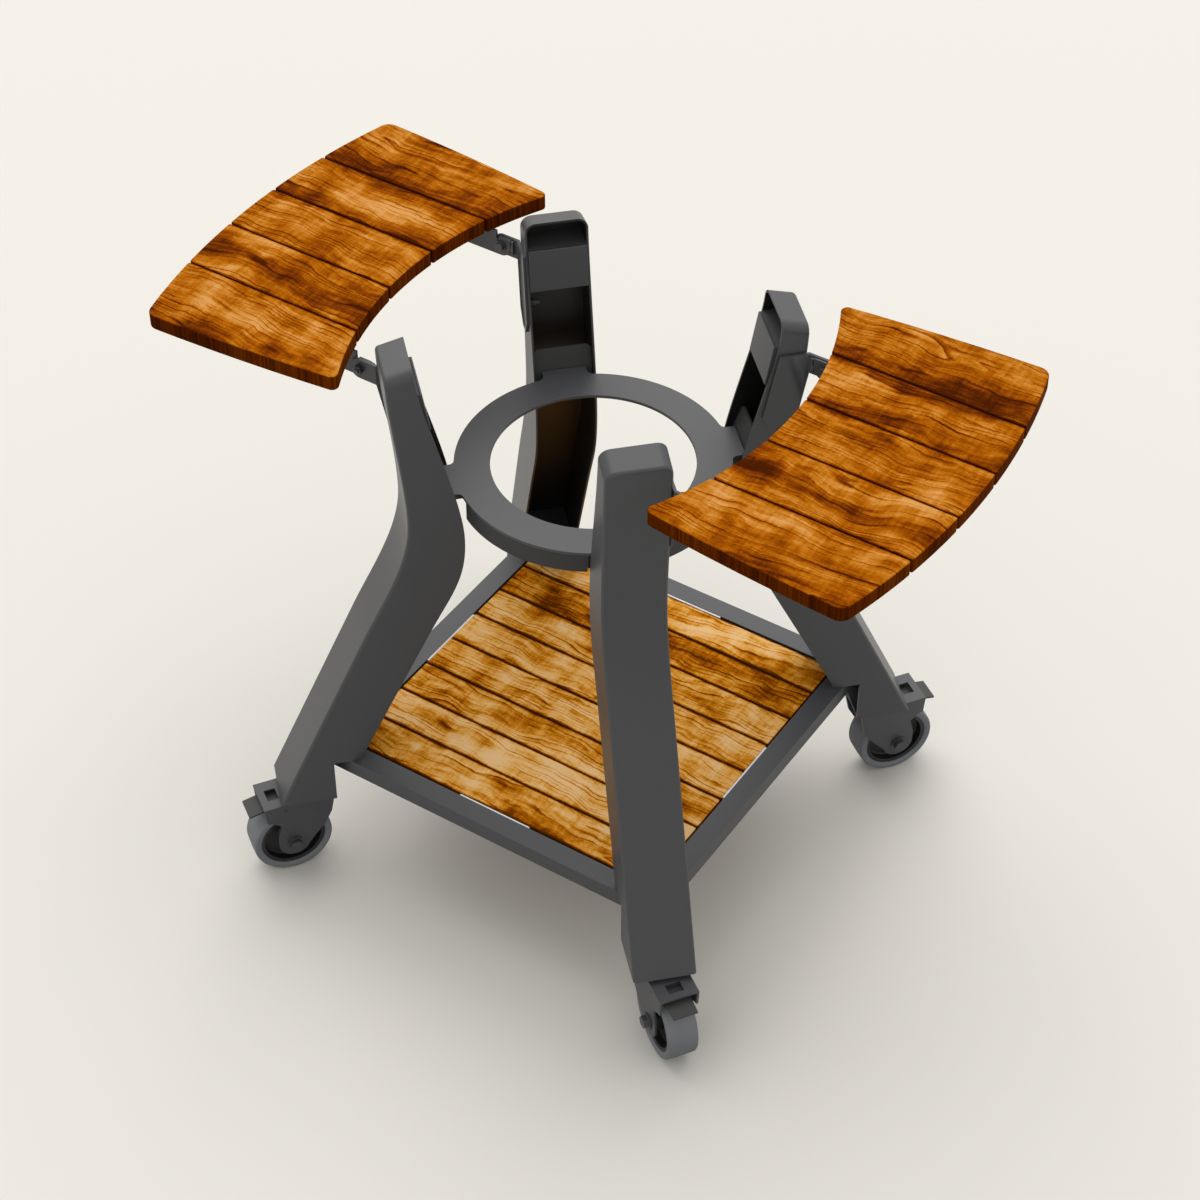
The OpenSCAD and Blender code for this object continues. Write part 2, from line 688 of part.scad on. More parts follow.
// Outline of the right-hand shelf in plan: an arc on each long side and two slightly bowed ends
shelf_near_x = pivot_x + shelf_lead;
arm_reach = shelf_lead + shelf_depth - arm_short;
function arc_point(r, middle_x, y) = [middle_x - r + sqrt(r ^ 2 - y ^ 2), y];
function inner_point(s) = arc_point(arc_in_r, shelf_near_x, shelf_in_half * s);
function outer_point(s) = arc_point(arc_out_r, shelf_near_x + shelf_depth, shelf_out_half * s);
in_corner = inner_point(1);
out_corner = outer_point(1);
end_run = [for (i = [1:end_steps - 1]) let (s = i / end_steps)
    in_corner + s * (out_corner - in_corner) + [0, 4 * end_bow * s * (1 - s)]];
inner_run = [for (i = [1 - arc_steps:arc_steps - 1]) inner_point(i / arc_steps)];
outer_run = [for (i = [arc_steps - 1:-1:1 - arc_steps]) outer_point(i / arc_steps)];
function flipped(p) = [p.x, -p.y];
end_near = end_run[0];
end_far = end_run[len(end_run) - 1];
shelf_outline = concat(
    inner_run,
    rounded(inner_run[len(inner_run) - 1], in_corner, end_near, shelf_in_round),
    end_run,
    rounded(end_far, out_corner, outer_run[0], shelf_out_round),
    outer_run,
    rounded(outer_run[len(outer_run) - 1], flipped(out_corner), flipped(end_far), shelf_out_round),
    [for (p = reversed(end_run)) flipped(p)],
    rounded(flipped(end_near), flipped(in_corner), inner_run[0], shelf_in_round));
// Seams of the shelf, with the outer boards' far sides beyond the outline
seams = [-shelf_out_half - over, -seam_out, -seam_in, seam_in, seam_out, shelf_out_half + over];
// Half length of the rails, which end short of the shelf's end edges
rail_short = 14;
function rail_half(x) = shelf_in_half - rail_short
    + (shelf_out_half - shelf_in_half) * (x - in_corner.x) / (out_corner.x - in_corner.x);
rails_at = [pivot_x + rail_near, pivot_x + arm_reach - rail_end];
// The screws stand in the middle of each board; the outer boards are narrower than their strips
outer_screw_y = (seam_out + shelf_in_half) / 2;
screw_rows = [-outer_screw_y, -(seam_in + seam_out) / 2, 0, (seam_in + seam_out) / 2, outer_screw_y];

module on_side(side) {
    mirror([side < 0 ? 1 : 0, 0, 0]) children();
}

module shelf_screw_places(h) {
    for (x = rails_at, y = screw_rows) translate([x, y, h]) children();
}

module shelf_boards(side) {
    color(timber) on_side(side) difference() {
        translate([0, 0, shelf_h - shelf_t]) linear_extrude(shelf_t) for (i = [0:len(seams) - 2]) intersection() {
            polygon(shelf_outline);
            translate([0, seams[i] + board_gap / 2])
                square([shelf_near_x + shelf_depth + over, seams[i + 1] - seams[i] - board_gap]);
        }
        shelf_screw_places(shelf_h - shelf_t) pilot();
    }
}

module shelf_rails(side) {
    color(dark_steel) on_side(side) difference() {
        for (x = rails_at) translate([x - rail_w / 2, -rail_half(x), shelf_h - shelf_t - rail_t])
            cube([rail_w, 2 * rail_half(x), rail_t]);
        shelf_screw_places(shelf_h - shelf_t - rail_t) translate([0, 0, -over])
            cylinder(r = screw_r + hole_fit, h = rail_t + 2 * over);
    }
}

module shelf_screws(side) {
    color(zinc) on_side(side) shelf_screw_places(shelf_h - shelf_t - rail_t) screw(rail_t);
}

// Outline of the moving arm: square tail above, round below, a notch before the boards, a tapered end
tail_top = 11;
notch_top = 7;
notch_from = 2.5;
notch_to = 5.5;
taper_from = 60;
arm_end_h = 12;

module arm_outline() {
    difference() {
        union() {
            circle(tail_r);
            polygon([[-tail_r, 0], [-tail_r, tail_top], [notch_from, tail_top], [notch_from, notch_top],
                     [notch_to, notch_top], [notch_to, pivot_drop], [arm_reach, pivot_drop],
                     [arm_reach, pivot_drop - arm_end_h], [taper_from, -tail_r], [0, -tail_r]]);
        }
        translate([-tail_r, tail_top]) square([tail_r + notch_from, tail_r]);
        translate([notch_from, notch_top]) square([notch_to - notch_from, tail_r]);
        circle(pivot_bolt_r + turn_fit);
        for (x = rails_at) translate([x - pivot_x - rail_w / 2, pivot_drop - rail_t]) square([rail_w, rail_t + over]);
    }
}

module shelf_arms(side) {
    color(steel) on_side(side) for (end = [0, 1]) mirror([0, end, 0])
        translate([pivot_x, moving_arm_y, pivot_h]) rotate([90, 0, 0]) linear_extrude(arm_t) arm_outline();
}

pivot_washer_r = 7;
pivot_washer_t = 1.5;
pivot_head_r = 5;
pivot_head_t = 3;

module shelf_pivot_bolts(side) {
    inner_y = moving_arm_y - arm_t;
    outer_y = fixed_arm_y + slip;
    bolt_end_y = outer_y + pivot_bolt_r * nut_height_share + bracket_t / 2;
    color(zinc) on_side(side) for (end = [0, 1]) mirror([0, end, 0]) {
        translate([pivot_x, inner_y, pivot_h]) rotate([90, 0, 0]) {
            cylinder(r = pivot_washer_r, h = pivot_washer_t);
            cylinder(r = pivot_head_r, h = pivot_washer_t + pivot_head_t);
        }
        translate([pivot_x, bolt_end_y, pivot_h]) rotate([90, 0, 0])
            cylinder(r = pivot_bolt_r, h = bolt_end_y - inner_y + pivot_washer_t);
        translate([pivot_x, outer_y, pivot_h]) rotate([-90, 0, 0]) nut(pivot_bolt_r);
    }
}

swivel_r = leg_foot_r - swivel_inset;

// A caster's own frame stands on the floor under the swivel axis, +X towards the axle
module at_caster(i) {
    at_leg(i) translate([swivel_r, 0, 0]) rotate([0, 0, caster_turn]) children();
}

race_r = 21;
race_gap = 0.3;
crown_r = 15;
crown_h = 9;
crown_low_h = fork_top_h - crown_h;
pin_head_r = 9;
pin_head_t = 4;
pin_thread = 4;

module caster_kingpins() {
    nut_top_h = leg_foot_h + foot_plate_t + kingpin_r * nut_height_share;
    head_top_h = crown_low_h - race_gap;
    color(zinc) for (i = [0:len(LEGS) - 1]) at_caster(i) {
        translate([0, 0, fork_top_h + race_gap]) cylinder(r = race_r, h = leg_foot_h - fork_top_h - race_gap);
        translate([0, 0, head_top_h - pin_head_t]) cylinder(r = pin_head_r, h = pin_head_t);
        translate([0, 0, head_top_h - pin_head_t / 2])
            cylinder(r = kingpin_r, h = nut_top_h + pin_thread - head_top_h + pin_head_t / 2);
    }
}

module kingpin_nuts() {
    color(zinc) for (i = [0:len(LEGS) - 1]) at_caster(i)
        translate([0, 0, leg_foot_h + foot_plate_t]) nut(kingpin_r);
}

// Side of the fork's cheek in the caster's frame, from the front top round the axle to the rear, as steps
// from the cover's front end, the axle and the cover's rear end
fork_w = tyre_w + 2 * tyre_gap + 2 * fork_t;
cheek_round = 18.5;
nose_step = [2, 22];
lip_step = [8, 24];
throat_step = [18, 32];
front_step = [13, -13.4];
heel_step = [17.4, 5.6];
calf_step = [15, 17.4];
hip_step = [6, -29];
cheek_nose = [fork_front, fork_top_h] - nose_step;
cheek_lip = [fork_front, fork_top_h] - lip_step;
cheek_throat = [fork_front, fork_top_h] - throat_step;
cheek_front = [fork_front, wheel_r] - front_step;
cheek_heel = [trail, wheel_r] - heel_step;
cheek_calf = [-fork_back, wheel_r] + calf_step;
cheek_hip = [-fork_back, fork_top_h] + hip_step;
slot_w = 17;
slot_length = 13;
slot_inset = 8.5;
slot_from = fork_front - slot_inset - slot_length;
pedal_pivot_x = fork_front - pedal_pivot_back;
pedal_pivot_h = fork_top_h - pedal_pivot_drop;

module cheek() {
    difference() {
        union() {
            polygon([[fork_front, fork_top_h], cheek_nose, cheek_lip, cheek_throat, cheek_front,
                     [trail + cheek_round, wheel_r], cheek_heel, cheek_calf, cheek_hip, [-fork_back, fork_top_h]]);
            translate([trail, wheel_r]) circle(cheek_round);
        }
        translate([trail, wheel_r]) circle(axle_r + turn_fit);
        translate([pedal_pivot_x, pedal_pivot_h]) circle(pedal_pin_r + turn_fit);
    }
}

module fork(i) {
    color(steel) at_caster(i) difference() {
        union() {
            for (side = [-1, 1]) translate([0, side * (fork_w - fork_t) / 2, 0]) rotate([90, 0, 0])
                linear_extrude(fork_t, center = true) cheek();
            translate([-fork_back, -fork_w / 2, fork_top_h - fork_t])
                cube([fork_back + fork_front, fork_w, fork_t]);
            translate([0, 0, crown_low_h]) cylinder(r = crown_r, h = fork_top_h - fork_t / 2 - crown_low_h);
        }
        translate([0, 0, crown_low_h - over])
            cylinder(r = kingpin_r + turn_fit, h = fork_top_h - crown_low_h + 2 * over);
        translate([slot_from, -slot_w / 2, fork_top_h - fork_t - over])
            cube([slot_length, slot_w, fork_t + 2 * over]);
    }
}

axle_head_r = 7.5;
axle_head_t = 6;
axle_washer_r = 9.5;
axle_washer_t = 1.5;

module axle(i) {
    thread_end = fork_w / 2 + axle_washer_t + axle_head_t;
    color(zinc) at_caster(i) translate([trail, 0, wheel_r]) {
        rotate([90, 0, 0]) cylinder(r = axle_r, h = 2 * thread_end, center = true);
        translate([0, -fork_w / 2, 0]) rotate([90, 0, 0]) {
            cylinder(r = axle_washer_r, h = axle_washer_t);
            cylinder(r = axle_head_r, h = axle_washer_t + axle_head_t, $fn = 6);
        }
        translate([0, fork_w / 2, 0]) rotate([-90, 0, 0]) difference() {
            union() {
                cylinder(r = axle_washer_r, h = axle_washer_t);
                cylinder(r = axle_head_r, h = axle_washer_t + axle_head_t, $fn = 6);
            }
            translate([0, 0, -over]) cylinder(r = axle_r + tap_fit, h = thread_end + over);
        }
    }
}

core_r = wheel_r - tyre_t - turn_fit;
rim_t = 4;
rim_inset = 2.5;
hub_r = 13;
hub_gap = 0.5;
web_t = 9;
tyre_round = 3;

module core(i) {
    hub_half = fork_w / 2 - fork_t - hub_gap;
    rim_half = tyre_w / 2 - rim_inset;
    color(black_plastic) at_caster(i) translate([trail, 0, wheel_r]) rotate([90, 0, 0]) rotate_extrude($fn = 72)
        polygon([
            [axle_r + turn_fit, -hub_half], [hub_r, -hub_half], [hub_r, -web_t / 2], [core_r - rim_t, -web_t / 2],
            [core_r - rim_t, -rim_half], [core_r, -rim_half], [core_r, rim_half], [core_r - rim_t, rim_half],
            [core_r - rim_t, web_t / 2], [hub_r, web_t / 2], [hub_r, hub_half], [axle_r + turn_fit, hub_half]]);
}

module tyre(i) {
    color(grey_rubber) at_caster(i) translate([trail, 0, wheel_r]) rotate([90, 0, 0]) rotate_extrude($fn = 72) {
        translate([wheel_r - tyre_t, -tyre_w / 2]) square([tyre_t - tyre_round, tyre_w]);
        translate([wheel_r - tyre_round, tyre_round - tyre_w / 2]) square([tyre_round, tyre_w - 2 * tyre_round]);
        for (side = [-1, 1]) translate([wheel_r - tyre_round, side * (tyre_w / 2 - tyre_round)]) circle(tyre_round, $fn = 24);
    }
}

pedal_pin_r = 2.2;
pedal_tip_drop = 4.5;
pedal_rear = 6;
shoe_from = 12;
shoe_to = 19;
// The shoe is as deep as leaves the brake gap between its rear corner and the tyre when the pedal is pressed
shoe_root = [pedal_pivot_x - trail, pedal_pivot_h - wheel_r] + shoe_from * [cos(brake_press), -sin(brake_press)];
shoe_down = [-sin(brake_press), -cos(brake_press)];
shoe_near = -shoe_root * shoe_down;
shoe_drop = shoe_near - sqrt(shoe_near ^ 2 - shoe_root * shoe_root + (wheel_r + brake_gap) ^ 2);

// The pedal is a lever with its brake shoe above the tyre and a pin across both cheeks
module pedal(i) {
    half = pedal_t / 2;
    color(dark_steel) at_caster(i) translate([pedal_pivot_x, 0, pedal_pivot_h]) {
        rotate([90, 0, 0]) linear_extrude(pedal_w, center = true) polygon([
            [-pedal_rear, half], [shoe_to, half], [pedal_reach, half - pedal_tip_drop], [pedal_reach, -half - pedal_tip_drop],
            [shoe_to, -half], [shoe_to, -shoe_drop], [shoe_from, -shoe_drop], [shoe_from, -half], [-pedal_rear, -half]]);
        rotate([90, 0, 0]) cylinder(r = pedal_pin_r, h = fork_w, center = true);
    }
}

for (i = [0:len(LEGS) - 1]) leg(i);
foot_plates();
tie_plates();
pad_brackets();
support_pads();
ring_plate();
ring_skirt();
ring_brackets();
ring_nuts();
tray_frame();
tray_ledges();
tray_corner_plates();
tray_bolts();
deck_boards();
deck_battens();
deck_edge_strips();
deck_screws();
for (i = [0:len(LEGS) - 1]) shelf_bracket(i);
bracket_nuts();
caster_kingpins();
kingpin_nuts();
shelf_boards(1);  // right_shelf_boards
shelf_rails(1);  // right_shelf_rails
shelf_arms(1);  // right_shelf_arms
shelf_pivot_bolts(1);  // right_shelf_pivot_bolts
shelf_screws(1);  // right_shelf_screws
shelf_boards(-1);  // left_shelf_boards
shelf_rails(-1);  // left_shelf_rails
shelf_arms(-1);  // left_shelf_arms
shelf_pivot_bolts(-1);  // left_shelf_pivot_bolts
shelf_screws(-1);  // left_shelf_screws
for (i = [0:len(LEGS) - 1]) fork(i);
for (i = [0:len(LEGS) - 1]) axle(i);
for (i = [0:len(LEGS) - 1]) core(i);
for (i = [0:len(LEGS) - 1]) tyre(i);
for (i = [0:len(LEGS) - 1]) pedal(i);
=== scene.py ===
# %% [markdown]
# # A kamado stand
# This notebook dresses the measured model of a stand for a ceramic cooker: four open-backed steel legs on
# casters, a cradle ring, a slatted deck and two folding shelves. The frame gives every CAD node at its
# real place, in metres, so nothing is placed by eye. Each cell adds one kind of piece or one finish.

# %% Load the frame
import json
import math

import bmesh
import bpy
from mathutils import Matrix, Vector


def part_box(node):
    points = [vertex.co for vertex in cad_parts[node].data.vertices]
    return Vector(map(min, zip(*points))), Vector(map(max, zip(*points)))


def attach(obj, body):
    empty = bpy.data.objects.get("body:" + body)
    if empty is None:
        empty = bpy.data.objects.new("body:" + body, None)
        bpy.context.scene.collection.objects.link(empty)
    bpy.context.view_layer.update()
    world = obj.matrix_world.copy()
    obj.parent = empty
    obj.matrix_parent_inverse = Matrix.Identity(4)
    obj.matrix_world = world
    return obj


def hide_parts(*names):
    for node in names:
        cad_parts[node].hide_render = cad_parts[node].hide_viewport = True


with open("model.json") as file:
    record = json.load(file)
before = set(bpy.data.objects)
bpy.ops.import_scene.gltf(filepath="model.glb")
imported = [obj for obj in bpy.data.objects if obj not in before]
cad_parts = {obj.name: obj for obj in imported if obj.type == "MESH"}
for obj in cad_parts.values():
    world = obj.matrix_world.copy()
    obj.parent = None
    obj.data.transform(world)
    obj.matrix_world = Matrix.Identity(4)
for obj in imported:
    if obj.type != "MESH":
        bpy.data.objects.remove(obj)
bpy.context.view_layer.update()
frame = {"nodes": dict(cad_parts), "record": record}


def corners(box):
    """The lowest and highest corner of a box as plain lists."""
    return [[round(float(c), 6) for c in corner] for corner in box]


# %% [markdown]
# ## Camera
# The picture was taken from in front and above, a little to the right. The camera's place, turn and lens
# were worked out from the straight edges of the square deck, so the model and the photograph share one
# perspective.

# %% Camera
CAMERA_PLACE = (1.2663, -1.9234, 2.4633)
CAMERA_TILT = 47.20
CAMERA_ROLL = 0.09
CAMERA_TURN = 33.11
LENS = 85.5
SENSOR = 36.0

camera = bpy.data.objects.new("camera", bpy.data.cameras.new("camera"))
camera.data.lens = LENS
camera.data.sensor_width = SENSOR
camera.location = CAMERA_PLACE
camera.rotation_euler = [math.radians(a) for a in (CAMERA_TILT, CAMERA_ROLL, CAMERA_TURN)]
bpy.context.scene.collection.objects.link(camera)
bpy.context.scene.camera = camera
print("Camera height:", CAMERA_PLACE[2], "m, lens", LENS, "mm")

# %% [markdown]
# ## A small language for shader maths
# A pattern is a sum: coordinates are stretched, noise bends them, and the fraction of a count cuts them
# into lines. Wiring every Math node by hand hides that sum. The class `Field` wraps a socket, so that `1
# - mask * 0.5` adds the nodes itself. `Paint` is one material, and its method `add` makes any other node:
# settings first, then its sockets.

# %% Shader maths
class Field:
    """A number that changes over a surface; the usual signs add Math nodes."""

    def __init__(self, paint, socket):
        self.paint = paint
        self.socket = socket

    def math(self, operation, *values):
        sockets = dict(enumerate(values))
        return self.paint.add("Math", sockets, operation=operation).field()

    def __add__(self, other):
        return self.math("ADD", self, other)

    def __sub__(self, other):
        return self.math("SUBTRACT", self, other)

    def __rsub__(self, other):
        return self.math("SUBTRACT", other, self)

    def __mul__(self, other):
        return self.math("MULTIPLY", self, other)

    def __truediv__(self, other):
        return self.math("DIVIDE", self, other)

    def __abs__(self):
        return self.math("ABSOLUTE", self)

    __radd__ = __add__
    __rmul__ = __mul__

    def least(self, other):
        return self.math("MINIMUM", self, other)

    def fraction(self):
        return self.math("FRACT", self)

    def band(self, low, high):
        """0 below low, 1 above high, with a smooth rise between."""
        names = {"Value": self, "From Min": low, "From Max": high, "To Min": 0.0, "To Max": 1.0}
        return self.paint.add("MapRange", names, interpolation_type="SMOOTHSTEP").field()


print("Ways to work on a field:", sum(callable(way) for way in vars(Field).values()) - 1)

# %% [markdown]
# ## One material, one class
# Any other node is made by one method of the material: its settings are set first, then its sockets are
# filled with values or links. The result of a node is taken as a bare socket or, for more maths, as a
# field.

# %% Materials from nodes
class Added:
    """A node that was just added, and the ways to take its results."""

    def __init__(self, paint, node):
        self.paint = paint
        self.node = node

    def out(self, name=0):
        return self.node.outputs[name]

    def field(self, name=0):
        return Field(self.paint, self.node.outputs[name])


class Paint:
    """One material, built node by node."""

    def __init__(self, name):
        self.material = bpy.data.materials.new(name)
        self.material.use_nodes = True
        self.tree = self.material.node_tree
        self.shader = self.tree.nodes["Principled BSDF"]
        place = self.add("TexCoord").out("Object")
        parts = self.add("SeparateXYZ", {0: place})
        self.place = place
        self.x, self.y, self.z = (parts.field(i) for i in range(3))

    def feed(self, socket, value):
        if isinstance(value, Field):
            value = value.socket
        if isinstance(value, bpy.types.NodeSocket):
            self.tree.links.new(value, socket)
        else:
            socket.default_value = value

    def add(self, kind, sockets=None, stops=None, **settings):
        node = self.tree.nodes.new("ShaderNode" + kind)
        for key, value in settings.items():
            setattr(node, key, value)
        for i, (at, color) in enumerate(stops or []):
            ramp = node.color_ramp.elements
            stop = ramp[i] if i < len(ramp) else ramp.new(at)
            stop.position = at
            stop.color = (*color, 1.0)
        for key, value in (sockets or {}).items():
            self.feed(node.inputs[key], value)
        return Added(self, node)

    def vector(self, x, y, z):
        return self.add("CombineXYZ", {0: x, 1: y, 2: z}).out()

    def noise(self, vector, scale, detail=2.0, rough=0.5):
        names = {"Vector": vector, "Scale": scale, "Detail": detail, "Roughness": rough}
        return self.add("TexNoise", names).field()

    def blend_color(self, mask, first, second):
        factor, color_a, color_b, result = 0, 6, 7, 2
        names = {factor: mask, color_a: first, color_b: second}
        return self.add("Mix", names, data_type="RGBA").out(result)

    def bump(self, height, distance, strength=1.0):
        names = {"Height": height, "Distance": distance, "Strength": strength}
        self.feed(self.shader.inputs["Normal"], self.add("Bump", names).out())

    def set(self, **values):
        for name, value in values.items():
            self.feed(self.shader.inputs[name.replace("_", " ")], value)


def linear(c):
    """One channel of a screen colour, 0 to 255, as the linear value that a shader takes."""
    return (c / 255 / 12.92) if c <= 10 else ((c / 255 + 0.055) / 1.055) ** 2.4


def tone(red, green, blue):
    return tuple(linear(c) for c in (red, green, blue))


def around(color, share):
    """A darker and a lighter neighbour of a colour, for a mask to blend."""
    return [tuple(c * level for c in color) + (1.0,) for level in (1 - share, 1 + share)]


print("Mid grey on the screen is", round(tone(128, 128, 128)[0], 3), "in the shader")

# %% [markdown]
# ## Powder-coated steel
# Powder coat is sprayed dry and baked, which leaves a very fine orange-peel skin with a soft sheen. A
# noise of about a millimetre raises that skin, and a slower one shifts the grey a little, so that large
# sheets aren't dead. Inside the four leg channels a mask paints shade, turning the coat nearly black
# there: it is 1 where a point lies between the flanges and its surface doesn't face outwards.

# %% Powder coat
CHANNEL_HALF = 0.0322
CHANNEL_FADE = 0.001
FACING_FADE = 0.04
COAT_CLOUDS = 9.0
COAT_SPECKS = 1400.0
COAT_SKIN = 900.0
SKIN_DEPTH = 0.00008
STEEL_GREY = tone(75, 76, 79)
DARK_GREY = tone(60, 61, 61)
SKIRT_GREY = tone(44, 44, 44)
# Painted shade inside the leg channels, nearly black.
PAINTED_SHADE_GREY = tone(22, 22, 22)


def paint_channel_shade(paint):
    """Painted shade: 1 inside the four channels, 0 on their outer faces; every leg stands on a diagonal of
    the stand.
    """
    across = abs(abs(paint.x) - abs(paint.y)) * math.sqrt(0.5)
    normal = paint.add("TexCoord").out("Normal")
    outwards = paint.add("VectorMath", {0: normal, 1: paint.place}, operation="DOT_PRODUCT").field("Value")
    between = 1 - across.band(CHANNEL_HALF, CHANNEL_HALF + CHANNEL_FADE)
    return between * (1 - outwards.band(0.0, FACING_FADE))


def powder_coat(name, grey, roughness, painted_shade=None):
    """A sprayed coat; the mask function given last marks where shade is painted, nearly black."""
    paint = Paint(name)
    cloud = paint.noise(paint.place, COAT_CLOUDS, 3.0)
    speck = paint.noise(paint.place, COAT_SPECKS, 2.0)
    color = paint.blend_color(cloud * 0.6 + speck * 0.4, *around(grey, 0.12))
    # Where the mask is 1, shade is painted: the coat turns nearly black.
    if painted_shade:
        color = paint.blend_color(painted_shade(paint), color, (*PAINTED_SHADE_GREY, 1.0))
    paint.set(Base_Color=color)
    paint.set(Roughness=speck * 0.12 + (roughness - 0.06))
    paint.set(Specular_IOR_Level=0.5)
    paint.bump(paint.noise(paint.place, COAT_SKIN, 2.0), SKIN_DEPTH, 0.35)
    return paint.material


coated_steel = powder_coat("anthracite powder coat", STEEL_GREY, 0.42)
# The legs' coat carries painted shade inside their channels.
leg_steel = powder_coat("anthracite powder coat, painted shade inside", STEEL_GREY, 0.42, paint_channel_shade)
dark_steel = powder_coat("black-grey powder coat", DARK_GREY, 0.55)
skirt_steel = powder_coat("black coat of the skirt", SKIRT_GREY, 0.55)
print("Powder coats:", [paint.name for paint in (coated_steel, leg_steel, dark_steel, skirt_steel)])

# %% [markdown]
# ## Fasteners, tyres, wheel cores and nylon
# Small parts read by their sheen: blackened bolts are smoother than the coat around them, a soft tyre has
# no gloss, moulded plastic has a satin skin.

# %% Small finishes
SMALL_CLOUDS = 40.0


def plain_finish(name, color, roughness, metallic, grain, depth):
    """One colour with faint clouds; grain and depth are the fineness and height of its skin."""
    paint = Paint(name)
    cloud = paint.noise(paint.place, SMALL_CLOUDS, 3.0)
    paint.set(Base_Color=paint.blend_color(cloud, *around(color, 0.15)), Metallic=metallic)
    paint.set(Roughness=cloud * 0.1 + (roughness - 0.05))
    paint.bump(paint.noise(paint.place, grain, 2.0), depth, 0.4)
    return paint.material


fastener_steel = plain_finish("black-oxide steel", tone(84, 84, 88), 0.42, 0.6, 700.0, 0.00005)
# Painted shade: the nuts inside the leg channels are nearly black, like the shade painted there.
painted_shade_nuts = plain_finish("nuts in painted channel shade", tone(20, 20, 21), 0.6, 0.0, 700.0, 0.00005)
tyre_rubber = plain_finish("grey tyre", tone(138, 140, 143), 0.72, 0.0, 500.0, 0.0001)
core_plastic = plain_finish("black wheel core", tone(24, 24, 26), 0.5, 0.0, 900.0, 0.00005)
edge_nylon = plain_finish("pale nylon", tone(250, 250, 249), 0.5, 0.0, 600.0, 0.00005)
small_finishes = (fastener_steel, painted_shade_nuts, tyre_rubber, core_plastic, edge_nylon)
print("Small finishes:", [paint.name for paint in small_finishes])

# %% [markdown]
# ## Figured hardwood
# The boards are oiled and strongly figured: growth layers run along the board in waves, each one pale at
# first and dark at its end, broad streaks of dark heartwood cross the row of boards, and faint bars run
# across the grain where the fibres curl. One layer number does most of this. The distance across the
# board is bent by slow and fast noise and counted in layers, and the fraction of that count says where in
# its layer a point lies. All of it adds up to one lightness, and a colour ramp turns lightness into wood.
# The pattern crosses the seams, where a dark band of painted shade is added. On the sides the lightness
# is lowered as painted shade and broken by end grain.

# %% Wood
SEAM_IN = 0.038
SEAM_OUT = 0.116
DECK_PITCH = 0.0497
SHELF_TONES = [(0.06, tone(74, 27, 0)), (0.22, tone(110, 45, 0)), (0.36, tone(138, 64, 0)),
               (0.54, tone(175, 93, 0)), (0.66, tone(194, 115, 20)), (0.78, tone(208, 136, 52)),
               (0.95, tone(224, 160, 90))]
# The deck's tones are lighter and paler than the shelves': painted light that lifts the deck out of the
# shade it lies in, and a painted sheen.
DECK_TONES_PAINTED_LIGHT = [(0.05, tone(98, 50, 2)), (0.20, tone(152, 73, 0)), (0.34, tone(192, 109, 2)),
              (0.46, tone(220, 140, 28)), (0.57, tone(238, 166, 66)), (0.68, tone(248, 188, 104)),
              (0.85, tone(255, 208, 146))]
SHELF_STREAKS = [(-0.211, 0.34), (-0.196, 0.50), (-0.165, 0.62), (-0.130, 0.66), (-0.104, 0.52),
                 (-0.084, 0.24), (-0.066, 0.48), (-0.048, 0.64), (-0.020, 0.56), (0.008, 0.54),
                 (0.030, 0.68), (0.044, 0.36), (0.056, 0.46), (0.080, 0.70), (0.100, 0.50),
                 (0.116, 0.24), (0.136, 0.32), (0.156, 0.58), (0.186, 0.68), (0.211, 0.54)]
DECK_STREAKS = [(-0.199, 0.42), (-0.175, 0.54), (-0.140, 0.68), (-0.110, 0.70), (-0.085, 0.42),
                (-0.060, 0.52), (-0.030, 0.64), (0.000, 0.60), (0.030, 0.64), (0.060, 0.58),
                (0.085, 0.62), (0.105, 0.38), (0.130, 0.26), (0.150, 0.42), (0.170, 0.64),
                (0.199, 0.60)]
print("Stops of tone:", len(SHELF_TONES), len(DECK_TONES_PAINTED_LIGHT), "streaks:", len(SHELF_STREAKS), len(DECK_STREAKS))

# %% [markdown]
# ## The figure as a sum
# Every part of the figure is noise or a fraction, from slow to fast: drift, sway and jitter bend the
# distance across the board, swell spreads and crowds the layers, line and hair are the dark ends of thick
# and thin layers, cloud, curl, wisp, comb and fibre are ever finer changes of light. The numbers before x
# and y say how many cells of noise lie in a metre along and across the board, and the weights at the end
# say how much each part counts.

# %% Figured wood
LAYERS = 120
SWELL = 11.0
SEAM_DARK, SEAM_CLEAR = 0.0006, 0.0042


